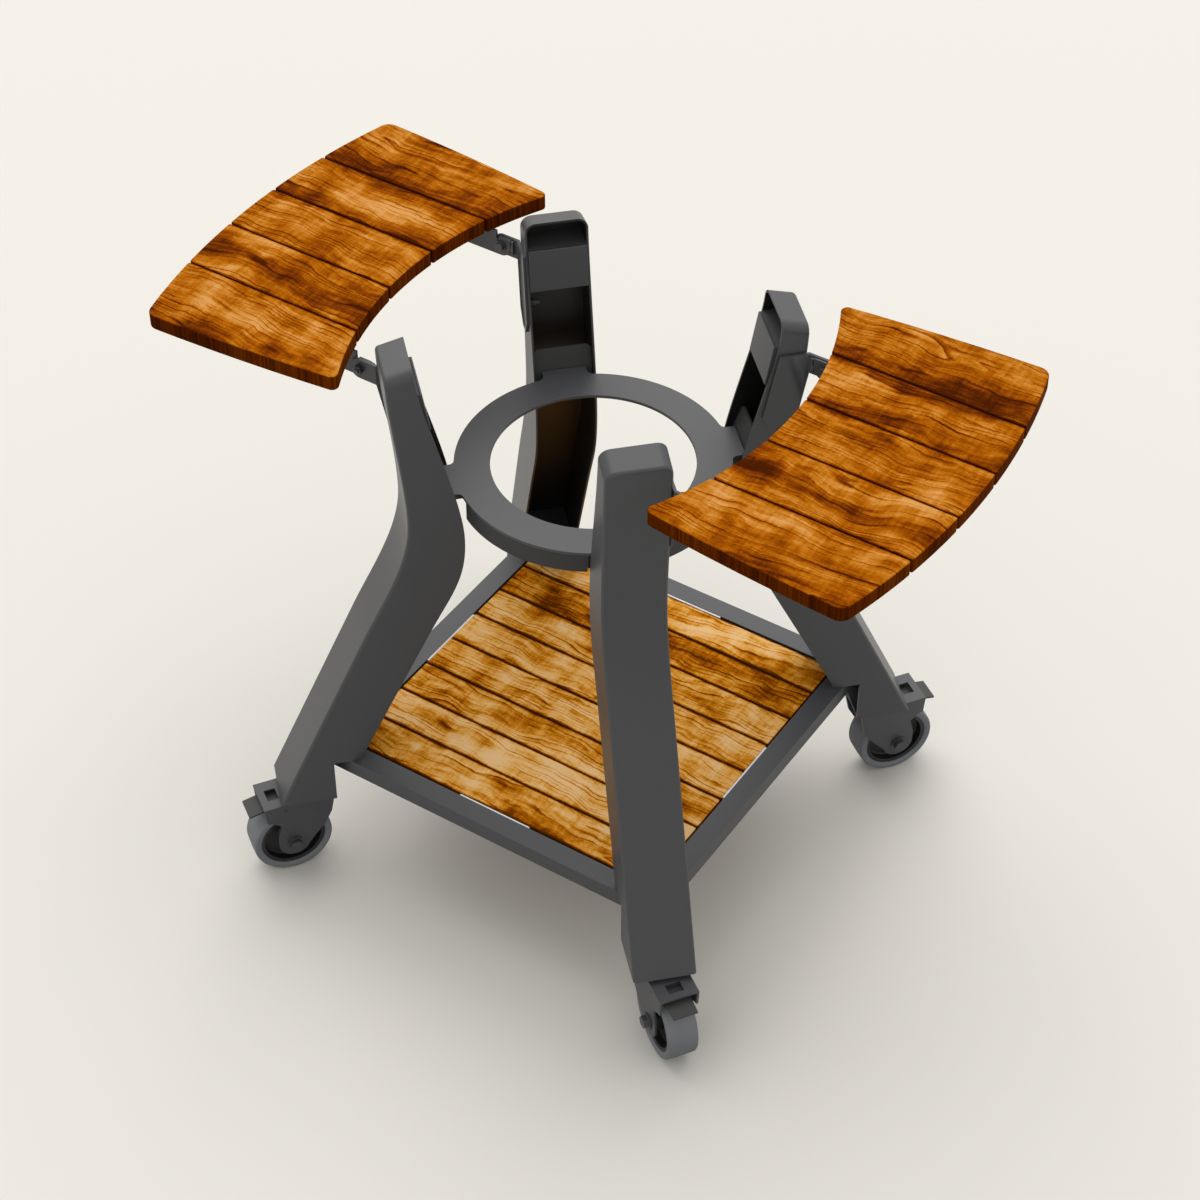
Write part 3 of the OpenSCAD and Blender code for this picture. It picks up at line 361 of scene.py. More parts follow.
def figured_wood(name, seed, tones, streaks, seam_distance, seam_shade_depth, side_shade_level):
    """Wood whose boards run along X; seam_distance(paint) is how far a point is from the nearest seam."""
    paint = Paint(name)
    x, y = paint.x, paint.y
    drift = paint.noise(paint.vector(x * 3.2, y * 4.0, seed), 1.0, 1.0) - 0.5
    sway = paint.noise(paint.vector(x * 15, y * 8, seed + 3), 1.0, 1.0) - 0.5
    jitter = paint.noise(paint.vector(x * 85, y * 45, seed + 5), 1.0, 3.0, 0.6) - 0.5
    bent_y = y + drift * 0.045 + sway * 0.028 + jitter * 0.0045
    swell = paint.noise(paint.vector(x * 2.0, bent_y * 22, seed + 9), 1.0, 2.0, 0.6)
    layers = bent_y * LAYERS + swell * SWELL
    late = layers.fraction()
    fine = (layers * 2.63 + jitter * 0.8).fraction()
    fade = paint.noise(paint.vector(x * 9, bent_y * 70, seed + 11), 1.0, 2.0)
    line = late.band(0.66, 0.94) * (1 - late.band(0.94, 1.0)) * fade.band(0.38, 0.66)
    hair = fine.band(0.45, 0.92) * (1 - fine.band(0.92, 1.0)) * fade.band(0.62, 0.34)
    low, high = streaks[0][0], streaks[-1][0]
    row = (bent_y - low) / (high - low)
    stops = [((at - low) / (high - low), (level, level, level)) for at, level in streaks]
    streak = paint.add("ValToRGB", {0: row}, stops=stops).field()
    cloud = paint.noise(paint.vector(x * 7, bent_y * 34, seed + 17), 1.0, 4.0, 0.62) - 0.5
    curl = paint.noise(paint.vector(x * 26 + y * 3, y * 6, seed + 23), 1.0, 2.0) - 0.5
    wisp = paint.noise(paint.vector(x * 34, bent_y * 120, seed + 27), 1.0, 3.0, 0.6) - 0.5
    comb = paint.noise(paint.vector(x * 240, y * 40, seed + 29), 1.0, 2.0) - 0.5
    fibre = paint.noise(paint.vector(x * 300, y * 900, seed), 1.0, 2.0, 0.6) - 0.5
    # Painted shade: a dark band along every seam, deepest at the gap.
    shade = 1 - seam_distance(paint).band(SEAM_DARK, SEAM_CLEAR)
    light = (streak + cloud * 1.20 + curl * 0.80 + wisp * 0.80 + comb * 0.32 + fibre * 0.38
             - late * 0.10 - hair * 0.12 - line * 0.42 - shade * seam_shade_depth + 0.07)
    # Painted shade: side faces get a lower lightness than the tops, set by the last argument.
    normal = paint.add("SeparateXYZ", {0: paint.add("TexCoord").out("Normal")})
    on_top = abs(normal.field("Z")).band(0.35, 0.8)
    end_grain = paint.noise(paint.vector(x * 420, y * 420, paint.z * 12), 1.0, 2.0) - 0.5
    light = light * on_top + (light * 0.35 + end_grain * 0.5 + side_shade_level) * (1 - on_top)
    paint.set(Base_Color=paint.add("ValToRGB", {0: light}, stops=tones).out())
    paint.set(Roughness=0.72 - light * 0.1, Specular_IOR_Level=0.01)
    paint.bump(fibre * 0.5 - line * 0.3, 0.0002, 0.4)
    return paint.material


def shelf_seams(paint):
    row = abs(paint.y)
    return abs(row - SEAM_IN).least(abs(row - SEAM_OUT))


def deck_seams(paint):
    row = (paint.y / DECK_PITCH + 0.5).fraction() - 0.5
    return abs(row) * DECK_PITCH


shelf_wood = figured_wood("oiled shelf wood", 2.0, SHELF_TONES, SHELF_STREAKS, shelf_seams, 0.30, 0.06)
deck_wood = figured_wood("oiled deck wood with painted light", 31.0, DECK_TONES_PAINTED_LIGHT, DECK_STREAKS, deck_seams, 0.46, 0.02)
print("Woods:", shelf_wood.name, "and", deck_wood.name)

# %% [markdown]
# ## From CAD node to finished piece
# A CAD solid has knife edges. Real sheet metal and timber never do, and it is the thin light along a
# rounded edge that makes a part look solid. `soften` copies a node, joins its loose triangles, clears the
# flat faces of spare edges and rounds what is left. `finish` hands a piece to its body and records which
# node it stands for.

# %% Helpers for pieces
SMOOTH_ANGLE = math.radians(38)
WELD = 0.00002
FLAT_ANGLE = math.radians(0.5)
bodies = frame["record"]["behaviour"]["bodies"]
body_of_node = {node: body for body, nodes in bodies.items() for node in nodes}
slot_of_node = {part["node"]: part["material_slot"] for part in frame["record"]["subparts"]}
finishes = {"coated_steel": coated_steel, "dark_steel": dark_steel, "fasteners": fastener_steel,
            "board_wood": shelf_wood, "batten_wood": deck_wood, "edge_nylon": edge_nylon,
            "grey_tyre": tyre_rubber, "black_core": core_plastic}
made = []


def new_object(name, bm):
    mesh = bpy.data.meshes.new(name)
    bm.to_mesh(mesh)
    bm.free()
    piece = bpy.data.objects.new(name, mesh)
    bpy.context.scene.collection.objects.link(piece)
    return piece


def settle(piece):
    """Turns a piece with live modifiers into a plain mesh."""
    graph = bpy.context.evaluated_depsgraph_get()
    mesh = bpy.data.meshes.new_from_object(piece.evaluated_get(graph))
    piece.modifiers.clear()
    piece.data = mesh


def round_edges(piece, width, steps=3):
    rounding = piece.modifiers.new("rounded edges", "BEVEL")
    rounding.width = width
    rounding.segments = steps
    rounding.limit_method = "ANGLE"
    rounding.angle_limit = SMOOTH_ANGLE
    rounding.use_clamp_overlap = True
    settle(piece)


def smooth(piece):
    mesh = piece.data
    mesh.polygons.foreach_set("use_smooth", [True] * len(mesh.polygons))
    mesh.set_sharp_from_angle(angle=SMOOTH_ANGLE)
    even = piece.modifiers.new("even shading", "WEIGHTED_NORMAL")
    even.keep_sharp = True
    settle(piece)


def finish(piece, nodes, material=None):
    """The piece takes the finish of its first node, rides on its body and stands for all its nodes."""
    slot = slot_of_node[nodes[0]]
    piece.data.materials.clear()
    piece.data.materials.append(material or finishes[slot])
    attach(piece, body_of_node[nodes[0]])
    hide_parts(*nodes)
    made.append(piece.name)
    return piece


def soften(node, width, steps=3, material=None):
    bm = bmesh.new()
    bm.from_mesh(frame["nodes"][node].data)
    bmesh.ops.remove_doubles(bm, verts=bm.verts, dist=WELD)
    bmesh.ops.dissolve_limit(bm, angle_limit=FLAT_ANGLE, verts=bm.verts, edges=bm.edges)
    piece = new_object(node + "_finished", bm)
    round_edges(piece, width, steps)
    smooth(piece)
    return finish(piece, [node], material)


print("Nodes to dress:", len(frame["nodes"]))

# %% [markdown]
# ## Legs
# Each leg is one sheet folded to a channel: a curved web outside, two flanges, and a cap whose shoulders
# are drawn round; the cap falls outwards a little. It is made as the press makes it: the outer form is a
# prism of the leg's side view with its shoulders and then its web edge rounded, the hollow is the same
# prism one sheet smaller, and what is left between them is the sheet. The side view is two smooth curves
# and a straight shin.

# %% Curves of the leg
LEG_WIDTH = 0.069
SHEET = 0.0025
LEG_TOP = 0.7055
STEP_HEIGHT = 0.175
FOOT_HEIGHT = 0.116
TOP_RADIUS, WAIST_RADIUS, KNEE_RADIUS, FOOT_RADIUS = 0.2195, 0.2045, 0.262, 0.367
WAIST_HEIGHT, KNEE_HEIGHT = 0.5065, 0.3465
EDGE_TOP, EDGE_WAIST, EDGE_KNEE, EDGE_STEP, EDGE_FOOT = 0.190, 0.145, 0.187, 0.272, 0.3035
EDGE_WAIST_HEIGHT, EDGE_KNEE_HEIGHT = 0.4755, 0.3505
UPPER_HANDLE, LOWER_HANDLE = 0.060, 0.056
EDGE_LEAN = Vector((0.008, 0.144)).normalized()
CAP_TILT = math.radians(15)
CURVE_STEPS = 20


def bezier(a, b, c, d):
    steps = [i / CURVE_STEPS for i in range(CURVE_STEPS + 1)]
    return [a * (1 - s) ** 3 + b * 3 * s * (1 - s) ** 2 + c * 3 * s * s * (1 - s) + d * s ** 3
            for s in steps]


def leg_curve(top, waist, knee, low, lean):
    """The top, the waist, the knee and the lower end of one edge of the leg's side view."""
    top, waist, knee, low = (Vector(p) for p in (top, waist, knee, low))
    down = Vector((0, -1))
    upper = bezier(top, top - lean * UPPER_HANDLE, waist - down * UPPER_HANDLE, waist)
    shin = (low - knee).normalized()
    lower = bezier(waist, waist + down * LOWER_HANDLE, knee - shin * LOWER_HANDLE, knee)
    return upper + lower[1:] + [low]


web_line = leg_curve((TOP_RADIUS, LEG_TOP), (WAIST_RADIUS, WAIST_HEIGHT), (KNEE_RADIUS, KNEE_HEIGHT),
                     (FOOT_RADIUS, FOOT_HEIGHT), Vector((0, 1)))
edge_line = leg_curve((EDGE_TOP, LEG_TOP), (EDGE_WAIST, EDGE_WAIST_HEIGHT), (EDGE_KNEE, EDGE_KNEE_HEIGHT),
                      (EDGE_STEP, STEP_HEIGHT), EDGE_LEAN)
print("Points on the leg's web and free edge:", len(web_line), len(edge_line))

# %% [markdown]
# ## Rounding by selection
# A bevel is only as good as its choice of edges. The shoulders are the two long edges of the cap, found
# by their height; the rim is every edge where a face of the web meets a face that isn't web. Points of
# the side view that come too close to the cap are left out, because a bevel can't be wider than the short
# edges beside it.

# %% Form of the press
SHOULDER = 0.012
BEND = 0.0035
CUT = 0.020
SHOULDER_STEPS, BEND_STEPS = 8, 4


def cap_height(radius, depth=0.0):
    """Height of the cap, which falls outwards, or of a face that lies under it by a depth."""
    return LEG_TOP - depth / math.cos(CAP_TILT) - (radius - EDGE_TOP) * math.tan(CAP_TILT)


def inset(line, depth):
    """A line of the side view moved into the sheet by a depth."""
    moved = []
    for i, point in enumerate(line):
        run = (line[min(i + 1, len(line) - 1)] - line[max(i - 1, 0)]).normalized()
        moved.append(point + Vector((run.y, -run.x)) * depth)
    return moved


def below(line, height):
    """The points of a line that leave room for the shoulders under the cap."""
    return [p for p in line if p.y < height - SHOULDER - BEND]


def prism(outline, half):
    """A solid of a side view, from -half to half across the leg."""
    bm = bmesh.new()
    sides = [[bm.verts.new((p.x, t, p.y)) for p in outline] for t in (-half, half)]
    bm.faces.new(sides[0])
    bm.faces.new(list(reversed(sides[1])))
    for i in range(len(outline)):
        k = (i + 1) % len(outline)
        bm.faces.new((sides[0][k], sides[0][i], sides[1][i], sides[1][k]))
    bmesh.ops.recalc_face_normals(bm, faces=bm.faces)
    return bm


def bevel(bm, edges, width, steps):
    bmesh.ops.bevel(bm, geom=edges, offset=width, segments=steps, profile=0.5, affect="EDGES",
                    clamp_overlap=True)


def pressed_form(web, inner, half, depth, shoulder, bend):
    """The prism with the shoulders of its cap and then the whole rim of its web rounded."""
    bm = prism(web + inner, half)
    on_top = [e for e in bm.edges if all(abs(v.co.z - cap_height(v.co.x, depth)) < WELD for v in e.verts)
              and abs(e.verts[0].co.y - e.verts[1].co.y) < WELD]
    bevel(bm, on_top, shoulder, SHOULDER_STEPS)
    bm.normal_update()

    def is_web(face):
        return face.normal.x > 0.5 and abs(face.normal.y) < 0.2

    def on_rim(edge):
        sides = [is_web(face) for face in edge.link_faces]
        above_foot = max(v.co.z for v in edge.verts) > FOOT_HEIGHT + BEND
        return len(sides) == 2 and sides[0] != sides[1] and above_foot

    bevel(bm, [e for e in bm.edges if on_rim(e)], bend, BEND_STEPS)
    return bm


print("The cap falls by", round((cap_height(EDGE_TOP) - cap_height(TOP_RADIUS)) * 1000, 1), "mm")

# %% [markdown]
# ## Cutting the hollow
# The outer form minus the hollow leaves the folded sheet. The hollow runs past the free edges and the
# foot, so the cut is clean there.

# %% Leg shells
def leg_shell(angle, node):
    web_top = cap_height(TOP_RADIUS)
    web = [Vector((TOP_RADIUS, web_top))] + below(web_line, web_top)
    edge = [edge_line[0]] + below(edge_line, LEG_TOP)
    outer = new_object(node + "_finished", pressed_form(
        web, [Vector((EDGE_FOOT, FOOT_HEIGHT)), Vector((EDGE_FOOT, STEP_HEIGHT))] + list(reversed(edge)),
        LEG_WIDTH / 2, 0.0, SHOULDER, BEND))
    inner_top = TOP_RADIUS - SHEET
    hollow_web = [Vector((inner_top, cap_height(inner_top, SHEET)))] + below(inset(web_line, SHEET), web_top)
    hollow_web[-1] = hollow_web[-1] + (hollow_web[-1] - hollow_web[-2]).normalized() * CUT
    back = EDGE_WAIST - CUT
    hollow = new_object("hollow", pressed_form(
        hollow_web, [Vector((back, hollow_web[-1].y)), Vector((back, cap_height(back, SHEET)))],
        LEG_WIDTH / 2 - SHEET, SHEET, SHOULDER - SHEET, BEND - SHEET))
    cut = outer.modifiers.new("hollow", "BOOLEAN")
    cut.operation = "DIFFERENCE"
    cut.solver = "EXACT"
    cut.object = hollow
    settle(outer)
    bpy.data.objects.remove(hollow)
    outer.data.transform(Matrix.Rotation(math.radians(angle), 4, "Z"))
    smooth(outer)
    return finish(outer, [node], leg_steel)


LEGS = ("back_right", "back_left", "front_left", "front_right")
LEG_ANGLES = {name: 45 + 90 * i for i, name in enumerate(LEGS)}
for name, angle in LEG_ANGLES.items():
    leg = leg_shell(angle, "leg_" + name)
    print(leg.name, len(leg.data.polygons), "faces")

# %% [markdown]
# ## Cradle ring
# The ring is laser-cut plate: an annulus with four tabs, faired in with small fillets. Its outline can be
# told as one distance for each angle, so the plate is a band of faces between that outline and the hole.

# %% Ring plate
RING_OUT, RING_IN, RING_TOP, RING_T = 0.1473, 0.109, 0.53175, 0.004
TAB_HALF, TAB_FILLET, TIE_LEAN = 0.0245, 0.007, math.radians(20)
TAB_END = 0.161 - RING_T * math.tan(TIE_LEAN)
SKIRT_H, SKIRT_T, SKIRT_GAP = 0.02175, 0.003, 0.036
ARC_STEPS = 36
FILLET_STEPS = 6


def ring_quarter():
    """Half a tab, a fillet, the arc, a fillet and half a tab, as points round the axis."""
    beside = TAB_HALF + TAB_FILLET
    centre = Vector((math.sqrt((RING_OUT + TAB_FILLET) ** 2 - beside ** 2), beside))
    first = -math.pi / 2
    last = math.atan2(-centre.y, -centre.x)
    half = [Vector((TAB_END, TAB_HALF * s)) for s in (0.0, 0.5, 1.0)]
    for i in range(FILLET_STEPS + 1):
        a = first + (last - first) * i / FILLET_STEPS
        half.append(centre + Vector((math.cos(a), math.sin(a))) * TAB_FILLET)
    start = half[-1].angle_signed(Vector((1, 0)))
    arc = [start + (math.pi / 2 - 2 * start) * i / ARC_STEPS for i in range(1, ARC_STEPS)]
    middle = [Vector((math.cos(a), math.sin(a))) * RING_OUT for a in arc]
    mirrored = [Vector((p.y, p.x)) for p in reversed(half[1:])]
    return half + middle + mirrored


def band(bm, outer, inner, low, high):
    """A closed band between two rings of points of equal count."""
    rows = [[bm.verts.new((p.x, p.y, z)) for p in line] for line, z in
            ((outer, low), (outer, high), (inner, high), (inner, low))]
    count = len(outer)
    for a, b in zip(rows, rows[1:] + rows[:1]):
        for i in range(count):
            k = (i + 1) % count
            bm.faces.new((a[i], a[k], b[k], b[i]))


bm = bmesh.new()
quarter = ring_quarter()
outline = []
for i in range(4):
    turn = Matrix.Rotation(math.radians(45 + 90 * i), 2)
    outline += [turn @ p for p in quarter]
hole = [p.normalized() * RING_IN for p in outline]
band(bm, outline, hole, RING_TOP - RING_T, RING_TOP)
bmesh.ops.recalc_face_normals(bm, faces=bm.faces)
ring = new_object("ring_plate_finished", bm)
round_edges(ring, 0.0006, 2)
smooth(ring)
finish(ring, ["ring_plate"])
print("Ring outline points:", len(outline))

# %% [markdown]
# ## Skirt
# The skirt is a thin strip that hangs under the ring's edge in four arcs between the legs, with its face
# left bare. Each arc is four rows of points, the corners of the strip's section, joined to a closed band.

# %% Skirt arcs
bm = bmesh.new()
gap = math.asin(SKIRT_GAP / RING_OUT)
section = [(RING_OUT, -SKIRT_H), (RING_OUT, 0), (RING_OUT - SKIRT_T, 0), (RING_OUT - SKIRT_T, -SKIRT_H)]
for leg in range(4):
    rows = []
    for radius, z in section:
        row = []
        for i in range(ARC_STEPS + 1):
            a = math.radians(45 + 90 * leg) + gap + (math.pi / 2 - 2 * gap) * i / ARC_STEPS
            row.append(bm.verts.new((radius * math.cos(a), radius * math.sin(a), RING_TOP - RING_T + z)))
        rows.append(row)
    for a, b in zip(rows, rows[1:] + rows[:1]):
        for i in range(ARC_STEPS):
            bm.faces.new((a[i], a[i + 1], b[i + 1], b[i]))
    for end in (0, ARC_STEPS):
        bm.faces.new([row[end] for row in rows])
bmesh.ops.recalc_face_normals(bm, faces=bm.faces)
skirt = new_object("ring_skirt_finished", bm)
round_edges(skirt, 0.0005, 2)
smooth(skirt)
finish(skirt, ["ring_skirt"], skirt_steel)
print(skirt.name, len(skirt.data.polygons), "faces")

# %% [markdown]
# ## Boards
# A shelf is one curved outline sawn into five boards. The outline has a tight arc towards the cooker, a
# flatter one outside, two ends that bow out a little and four rounded corners.

# %% Shelf outline
SHELF_NEAR, SHELF_FAR = 0.2295, 0.4400
ARC_IN, ARC_OUT = 0.402, 0.795
HALF_IN, HALF_OUT = 0.1915, 0.211
CORNER_IN, CORNER_OUT = 0.007, 0.013
END_BOW = 0.0025
END_STEPS = 6
SHELF_TOP, SHELF_T = 0.689, 0.0175
EDGE_STEPS = 40


def arc_point(radius, middle, y):
    """A point of an arc that crosses y = 0 at middle."""
    return Vector((middle - radius + math.sqrt(radius * radius - y * y), y))


def rounded(a, p, b, radius, steps=8):
    """The corner p between a and b as an arc."""
    u, v = (a - p).normalized(), (b - p).normalized()
    half = u.angle(v) / 2
    centre = p + (u + v).normalized() * radius / math.sin(half)
    start = p + u * radius / math.tan(half) - centre
    swing = start.angle_signed(p + v * radius / math.tan(half) - centre)
    return [centre + Matrix.Rotation(-swing * i / steps, 2) @ start for i in range(steps + 1)]


def shelf_outline():
    inner = [arc_point(ARC_IN, SHELF_NEAR, HALF_IN * i / EDGE_STEPS) for i in range(EDGE_STEPS + 1)]
    outer = [arc_point(ARC_OUT, SHELF_FAR, HALF_OUT * i / EDGE_STEPS) for i in range(EDGE_STEPS, -1, -1)]
    near, far = inner[-1], outer[0]
    bow = [near.lerp(far, s) + Vector((0, 4 * END_BOW * s * (1 - s))) for s in
           (i / END_STEPS for i in range(1, END_STEPS))]
    keep_in = [p for p in inner if (p - near).length > CORNER_IN * 1.5]
    keep_out = [p for p in outer if (p - far).length > CORNER_OUT * 1.5]
    upper = keep_in + rounded(keep_in[-1], near, bow[0], CORNER_IN) + bow
    upper += rounded(bow[-1], far, keep_out[0], CORNER_OUT) + keep_out
    lower = [Vector((p.x, -p.y)) for p in reversed(upper[1:-1])]
    return upper + lower


whole = shelf_outline()
print("Points of the shelf's outline:", len(whole))

# %% [markdown]
# ## Sawing the boards
# Cutting the outline between lines of constant y gives every board its exact share of the curve, so the
# boards line up as sawn timber does. The cut corners are eased, which leaves a small notch where two
# boards meet at the edge.

# %% Shelf boards
BOARD_GAP = 0.002
EASE = 0.0024
NEAR_EASE = EASE * 1.3
BOARD_EDGE = 0.0014


def sawn(points, low, high):
    """The part of an outline between two lines of constant y."""
    for sign, limit in ((1, low), (-1, high)):
        kept = []
        for a, b in zip(points, points[1:] + points[:1]):
            a_in, b_in = sign * (a.y - limit) >= 0, sign * (b.y - limit) >= 0
            if a_in:
                kept.append(a)
            if a_in != b_in:
                kept.append(a.lerp(b, (limit - a.y) / (b.y - a.y)))
        points = kept
    return points


def eased(points, rows):
    """A board's outline with the corners that lie on its sawn edges rounded."""
    def is_cut(point):
        return any(abs(point.y - row) < WELD for row in rows)

    result = []
    count = len(points)
    for i, p in enumerate(points):
        if is_cut(p):
            others = [points[(i + k) % count] for k in range(1, count)]
            after = next(q for q in others if (q - p).length > NEAR_EASE)
            before = next(q for q in reversed(others) if (q - p).length > NEAR_EASE)
            result += rounded(before, p, after, EASE, 4)
        elif all((p - q).length > NEAR_EASE for q in points if is_cut(q)):
            result.append(p)
    return result


def boards(name, outlines, top, thick):
    bm = bmesh.new()
    for outline in outlines:
        rows = [[bm.verts.new((p.x, p.y, z)) for p in outline] for z in (top - thick, top)]
        bm.faces.new(reversed(rows[0]))
        bm.faces.new(rows[1])
        for k in range(len(outline)):
            m = (k + 1) % len(outline)
            bm.faces.new((rows[0][k], rows[0][m], rows[1][m], rows[1][k]))
    bmesh.ops.remove_doubles(bm, verts=bm.verts, dist=WELD)
    bmesh.ops.recalc_face_normals(bm, faces=bm.faces)
    return new_object(name, bm)


seam_rows = [-HALF_OUT - BOARD_GAP, -SEAM_OUT, -SEAM_IN, SEAM_IN, SEAM_OUT, HALF_OUT + BOARD_GAP]
for side, sign in (("right", 1), ("left", -1)):
    rows = [(low + BOARD_GAP / 2, high - BOARD_GAP / 2) for low, high in zip(seam_rows, seam_rows[1:])]
    cuts = [eased(sawn(whole, low, high), (low, high)) for low, high in rows]
    outlines = [[Vector((sign * p.x, p.y)) for p in cut] for cut in cuts]
    shelf = boards(f"{side}_shelf_boards_finished", outlines, SHELF_TOP, SHELF_T)
    round_edges(shelf, BOARD_EDGE, 3)
    smooth(shelf)
    finish(shelf, [f"{side}_shelf_boards"], shelf_wood)
    print(shelf.name, len(shelf.data.polygons), "faces")

# %% [markdown]
# ## Deck
# The deck is the same board again and again at an even pitch, which is what Geometry Nodes are for: a
# line of points and one board on each. The tree's inputs are its real sizes. An input is set on the
# modifier by its socket's identifier, and the grown mesh is taken as plain faces before anything else
# uses it.

# %% Trees of Geometry Nodes
def tree_with_inputs(name, inputs):
    tree = bpy.data.node_groups.new(name, "GeometryNodeTree")
    tree.interface.new_socket(name="Geometry", in_out="OUTPUT", socket_type="NodeSocketGeometry")
    ids = {}
    for label, kind in inputs.items():
        ids[label] = tree.interface.new_socket(name=label, in_out="INPUT", socket_type=kind).identifier
    return tree, ids


def node_in(tree, kind, sockets=None, **settings):
    node = tree.nodes.new(kind)
    for key, value in settings.items():
        setattr(node, key, value)
    for key, value in (sockets or {}).items():
        if isinstance(value, bpy.types.NodeSocket):
            tree.links.new(value, node.inputs[key])
        else:
            node.inputs[key].default_value = value
    return node


def grown(name, tree, ids, values):
    """An object whose mesh a tree has grown, with no modifier left on it."""
    piece = bpy.data.objects.new(name, bpy.data.meshes.new(name))
    bpy.context.scene.collection.objects.link(piece)
    grow = piece.modifiers.new("grown", "NODES")
    grow.node_group = tree
    for label, value in values.items():
        grow[ids[label]] = value
    settle(piece)
    return piece


print("Node groups so far:", len(bpy.data.node_groups))

# %% [markdown]
# ## The row of deck boards
# Mesh Line lays the points, Instance on Points sets a board on each, Realize Instances makes them one
# mesh. The place and the size of the row are measured on the CAD node, so the deck fits its frame.

# %% Deck boards
def board_row_tree():
    tree, ids = tree_with_inputs("rows of boards", {
        "Boards": "NodeSocketInt", "First": "NodeSocketVector", "Pitch": "NodeSocketVector",
        "Size": "NodeSocketVector", "Material": "NodeSocketMaterial"})
    given = tree.nodes.new("NodeGroupInput").outputs
    row = node_in(tree, "GeometryNodeMeshLine", {
        "Count": given["Boards"], "Start Location": given["First"], "Offset": given["Pitch"]})
    board = node_in(tree, "GeometryNodeMeshCube", {"Size": given["Size"]})
    copies = node_in(tree, "GeometryNodeInstanceOnPoints", {
        "Points": row.outputs[0], "Instance": board.outputs[0]})
    real = node_in(tree, "GeometryNodeRealizeInstances", {"Geometry": copies.outputs[0]})
    painted = node_in(tree, "GeometryNodeSetMaterial", {
        "Geometry": real.outputs[0], "Material": given["Material"]})
    end = tree.nodes.new("NodeGroupOutput")
    tree.links.new(painted.outputs[0], end.inputs[0])
    return tree, ids


DECK_COUNT = 8
deck_low, deck_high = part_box("deck_boards")
deck_size = deck_high - deck_low
board_tree, board_ids = board_row_tree()
deck = grown("deck_boards_finished", board_tree, board_ids, {
    "Boards": DECK_COUNT,
    "First": (0.0, deck_low.y + DECK_PITCH / 2, (deck_low.z + deck_high.z) / 2),
    "Pitch": (0.0, DECK_PITCH, 0.0),
    "Size": (deck_size.x, DECK_PITCH - BOARD_GAP, deck_size.z),
    "Material": deck_wood})
round_edges(deck, BOARD_EDGE, 3)
smooth(deck)
finish(deck, ["deck_boards"], deck_wood)
print("Deck:", corners((deck_low, deck_high)), len(deck.data.polygons), "faces")

# %% [markdown]
# ## Casters
# A wheel is turned work, so its tyre and core are profiles spun about the axle. The tyre's tread is very
# slightly crowned. The core has a rim, a web set deep inside and a hub. The fork, pedal and bolts keep
# their CAD form with rounded edges.

# %% Wheels
SWIVEL_RADIUS = 0.3323
CASTER_TURN = 10.4
TRAIL = 0.0274
WHEEL_R = 0.0466
TYRE_T = 0.0091
TYRE_HALF = 0.0175
SPIN_STEPS = 96


def spun(name, profile, angle):
    """A profile of (radius, distance along the axle) turned about the axle of one caster."""
    bm = bmesh.new()
    rows = []
    for i in range(SPIN_STEPS):
        a = 2 * math.pi * i / SPIN_STEPS
        rows.append([bm.verts.new((r * math.cos(a), t, r * math.sin(a))) for r, t in profile])
    for a, b in zip(rows, rows[1:] + rows[:1]):
        for k in range(len(profile)):
            m = (k + 1) % len(profile)
            bm.faces.new((a[k], b[k], b[m], a[m]))
    bmesh.ops.recalc_face_normals(bm, faces=bm.faces)
    place = (Matrix.Rotation(math.radians(angle), 4, "Z") @ Matrix.Translation((SWIVEL_RADIUS, 0, 0))
             @ Matrix.Rotation(math.radians(CASTER_TURN), 4, "Z") @ Matrix.Translation((TRAIL, 0, WHEEL_R)))
    bmesh.ops.transform(bm, matrix=place, verts=bm.verts)
    return new_object(name, bm)


def mirrored(half):
    return [(r, -t) for r, t in reversed(half)]


print("Wheels stand", round(SWIVEL_RADIUS, 4), "m from the middle, turned by", CASTER_TURN, "degrees")

# %% [markdown]
# ## Profiles of tyre and core
# Each profile is half a section, from the axle's middle plane outwards, as points of radius and distance
# along the axle; the other half is its mirror image. Small steps at the corners stand for moulded radii.

# %% Tyres and cores
TYRE_SHOULDER, CROWN, SHOULDER_POINTS = 0.0030, 0.0004, 6
RIM_HALF, CORE_WEB_HALF, HUB, HUB_HALF, BORE = 0.0150, 0.0045, 0.0130, 0.0195, 0.00405
CORE_PLAY = 0.00005


def tyre_profile():
    inner = WHEEL_R - TYRE_T
    half = [(inner, TYRE_HALF - 0.0016), (inner + 0.0012, TYRE_HALF - 0.0004), (inner + 0.0022, TYRE_HALF)]
    for i in range(SHOULDER_POINTS + 1):
        a = math.pi / 2 * i / SHOULDER_POINTS
        half.append((WHEEL_R - CROWN - TYRE_SHOULDER + TYRE_SHOULDER * math.sin(a),
                     TYRE_HALF - TYRE_SHOULDER + TYRE_SHOULDER * math.cos(a)))
    return half + [(WHEEL_R, 0.0)] + mirrored(half)


def core_profile():
    rim = WHEEL_R - TYRE_T - CORE_PLAY
    half = [(BORE, HUB_HALF), (HUB - 0.0008, HUB_HALF), (HUB, HUB_HALF - 0.0008),
            (HUB + 0.0012, CORE_WEB_HALF + 0.0015), (HUB + 0.0030, CORE_WEB_HALF),
            (rim - 0.0065, CORE_WEB_HALF), (rim - 0.0045, CORE_WEB_HALF + 0.0015),
            (rim - 0.0040, RIM_HALF - 0.0006), (rim - 0.0034, RIM_HALF),
            (rim - 0.0006, RIM_HALF), (rim, RIM_HALF - 0.0006)]
    return half + mirrored(half)


for name, angle in LEG_ANGLES.items():
    for part, profile in (("tyre", tyre_profile()), ("core", core_profile())):
        node = f"caster_{name}_{part}"
        piece = spun(node + "_finished", profile, angle)
        smooth(piece)
        finish(piece, [node])
print("Wheels:", len(LEG_ANGLES), "with", SPIN_STEPS, "steps")

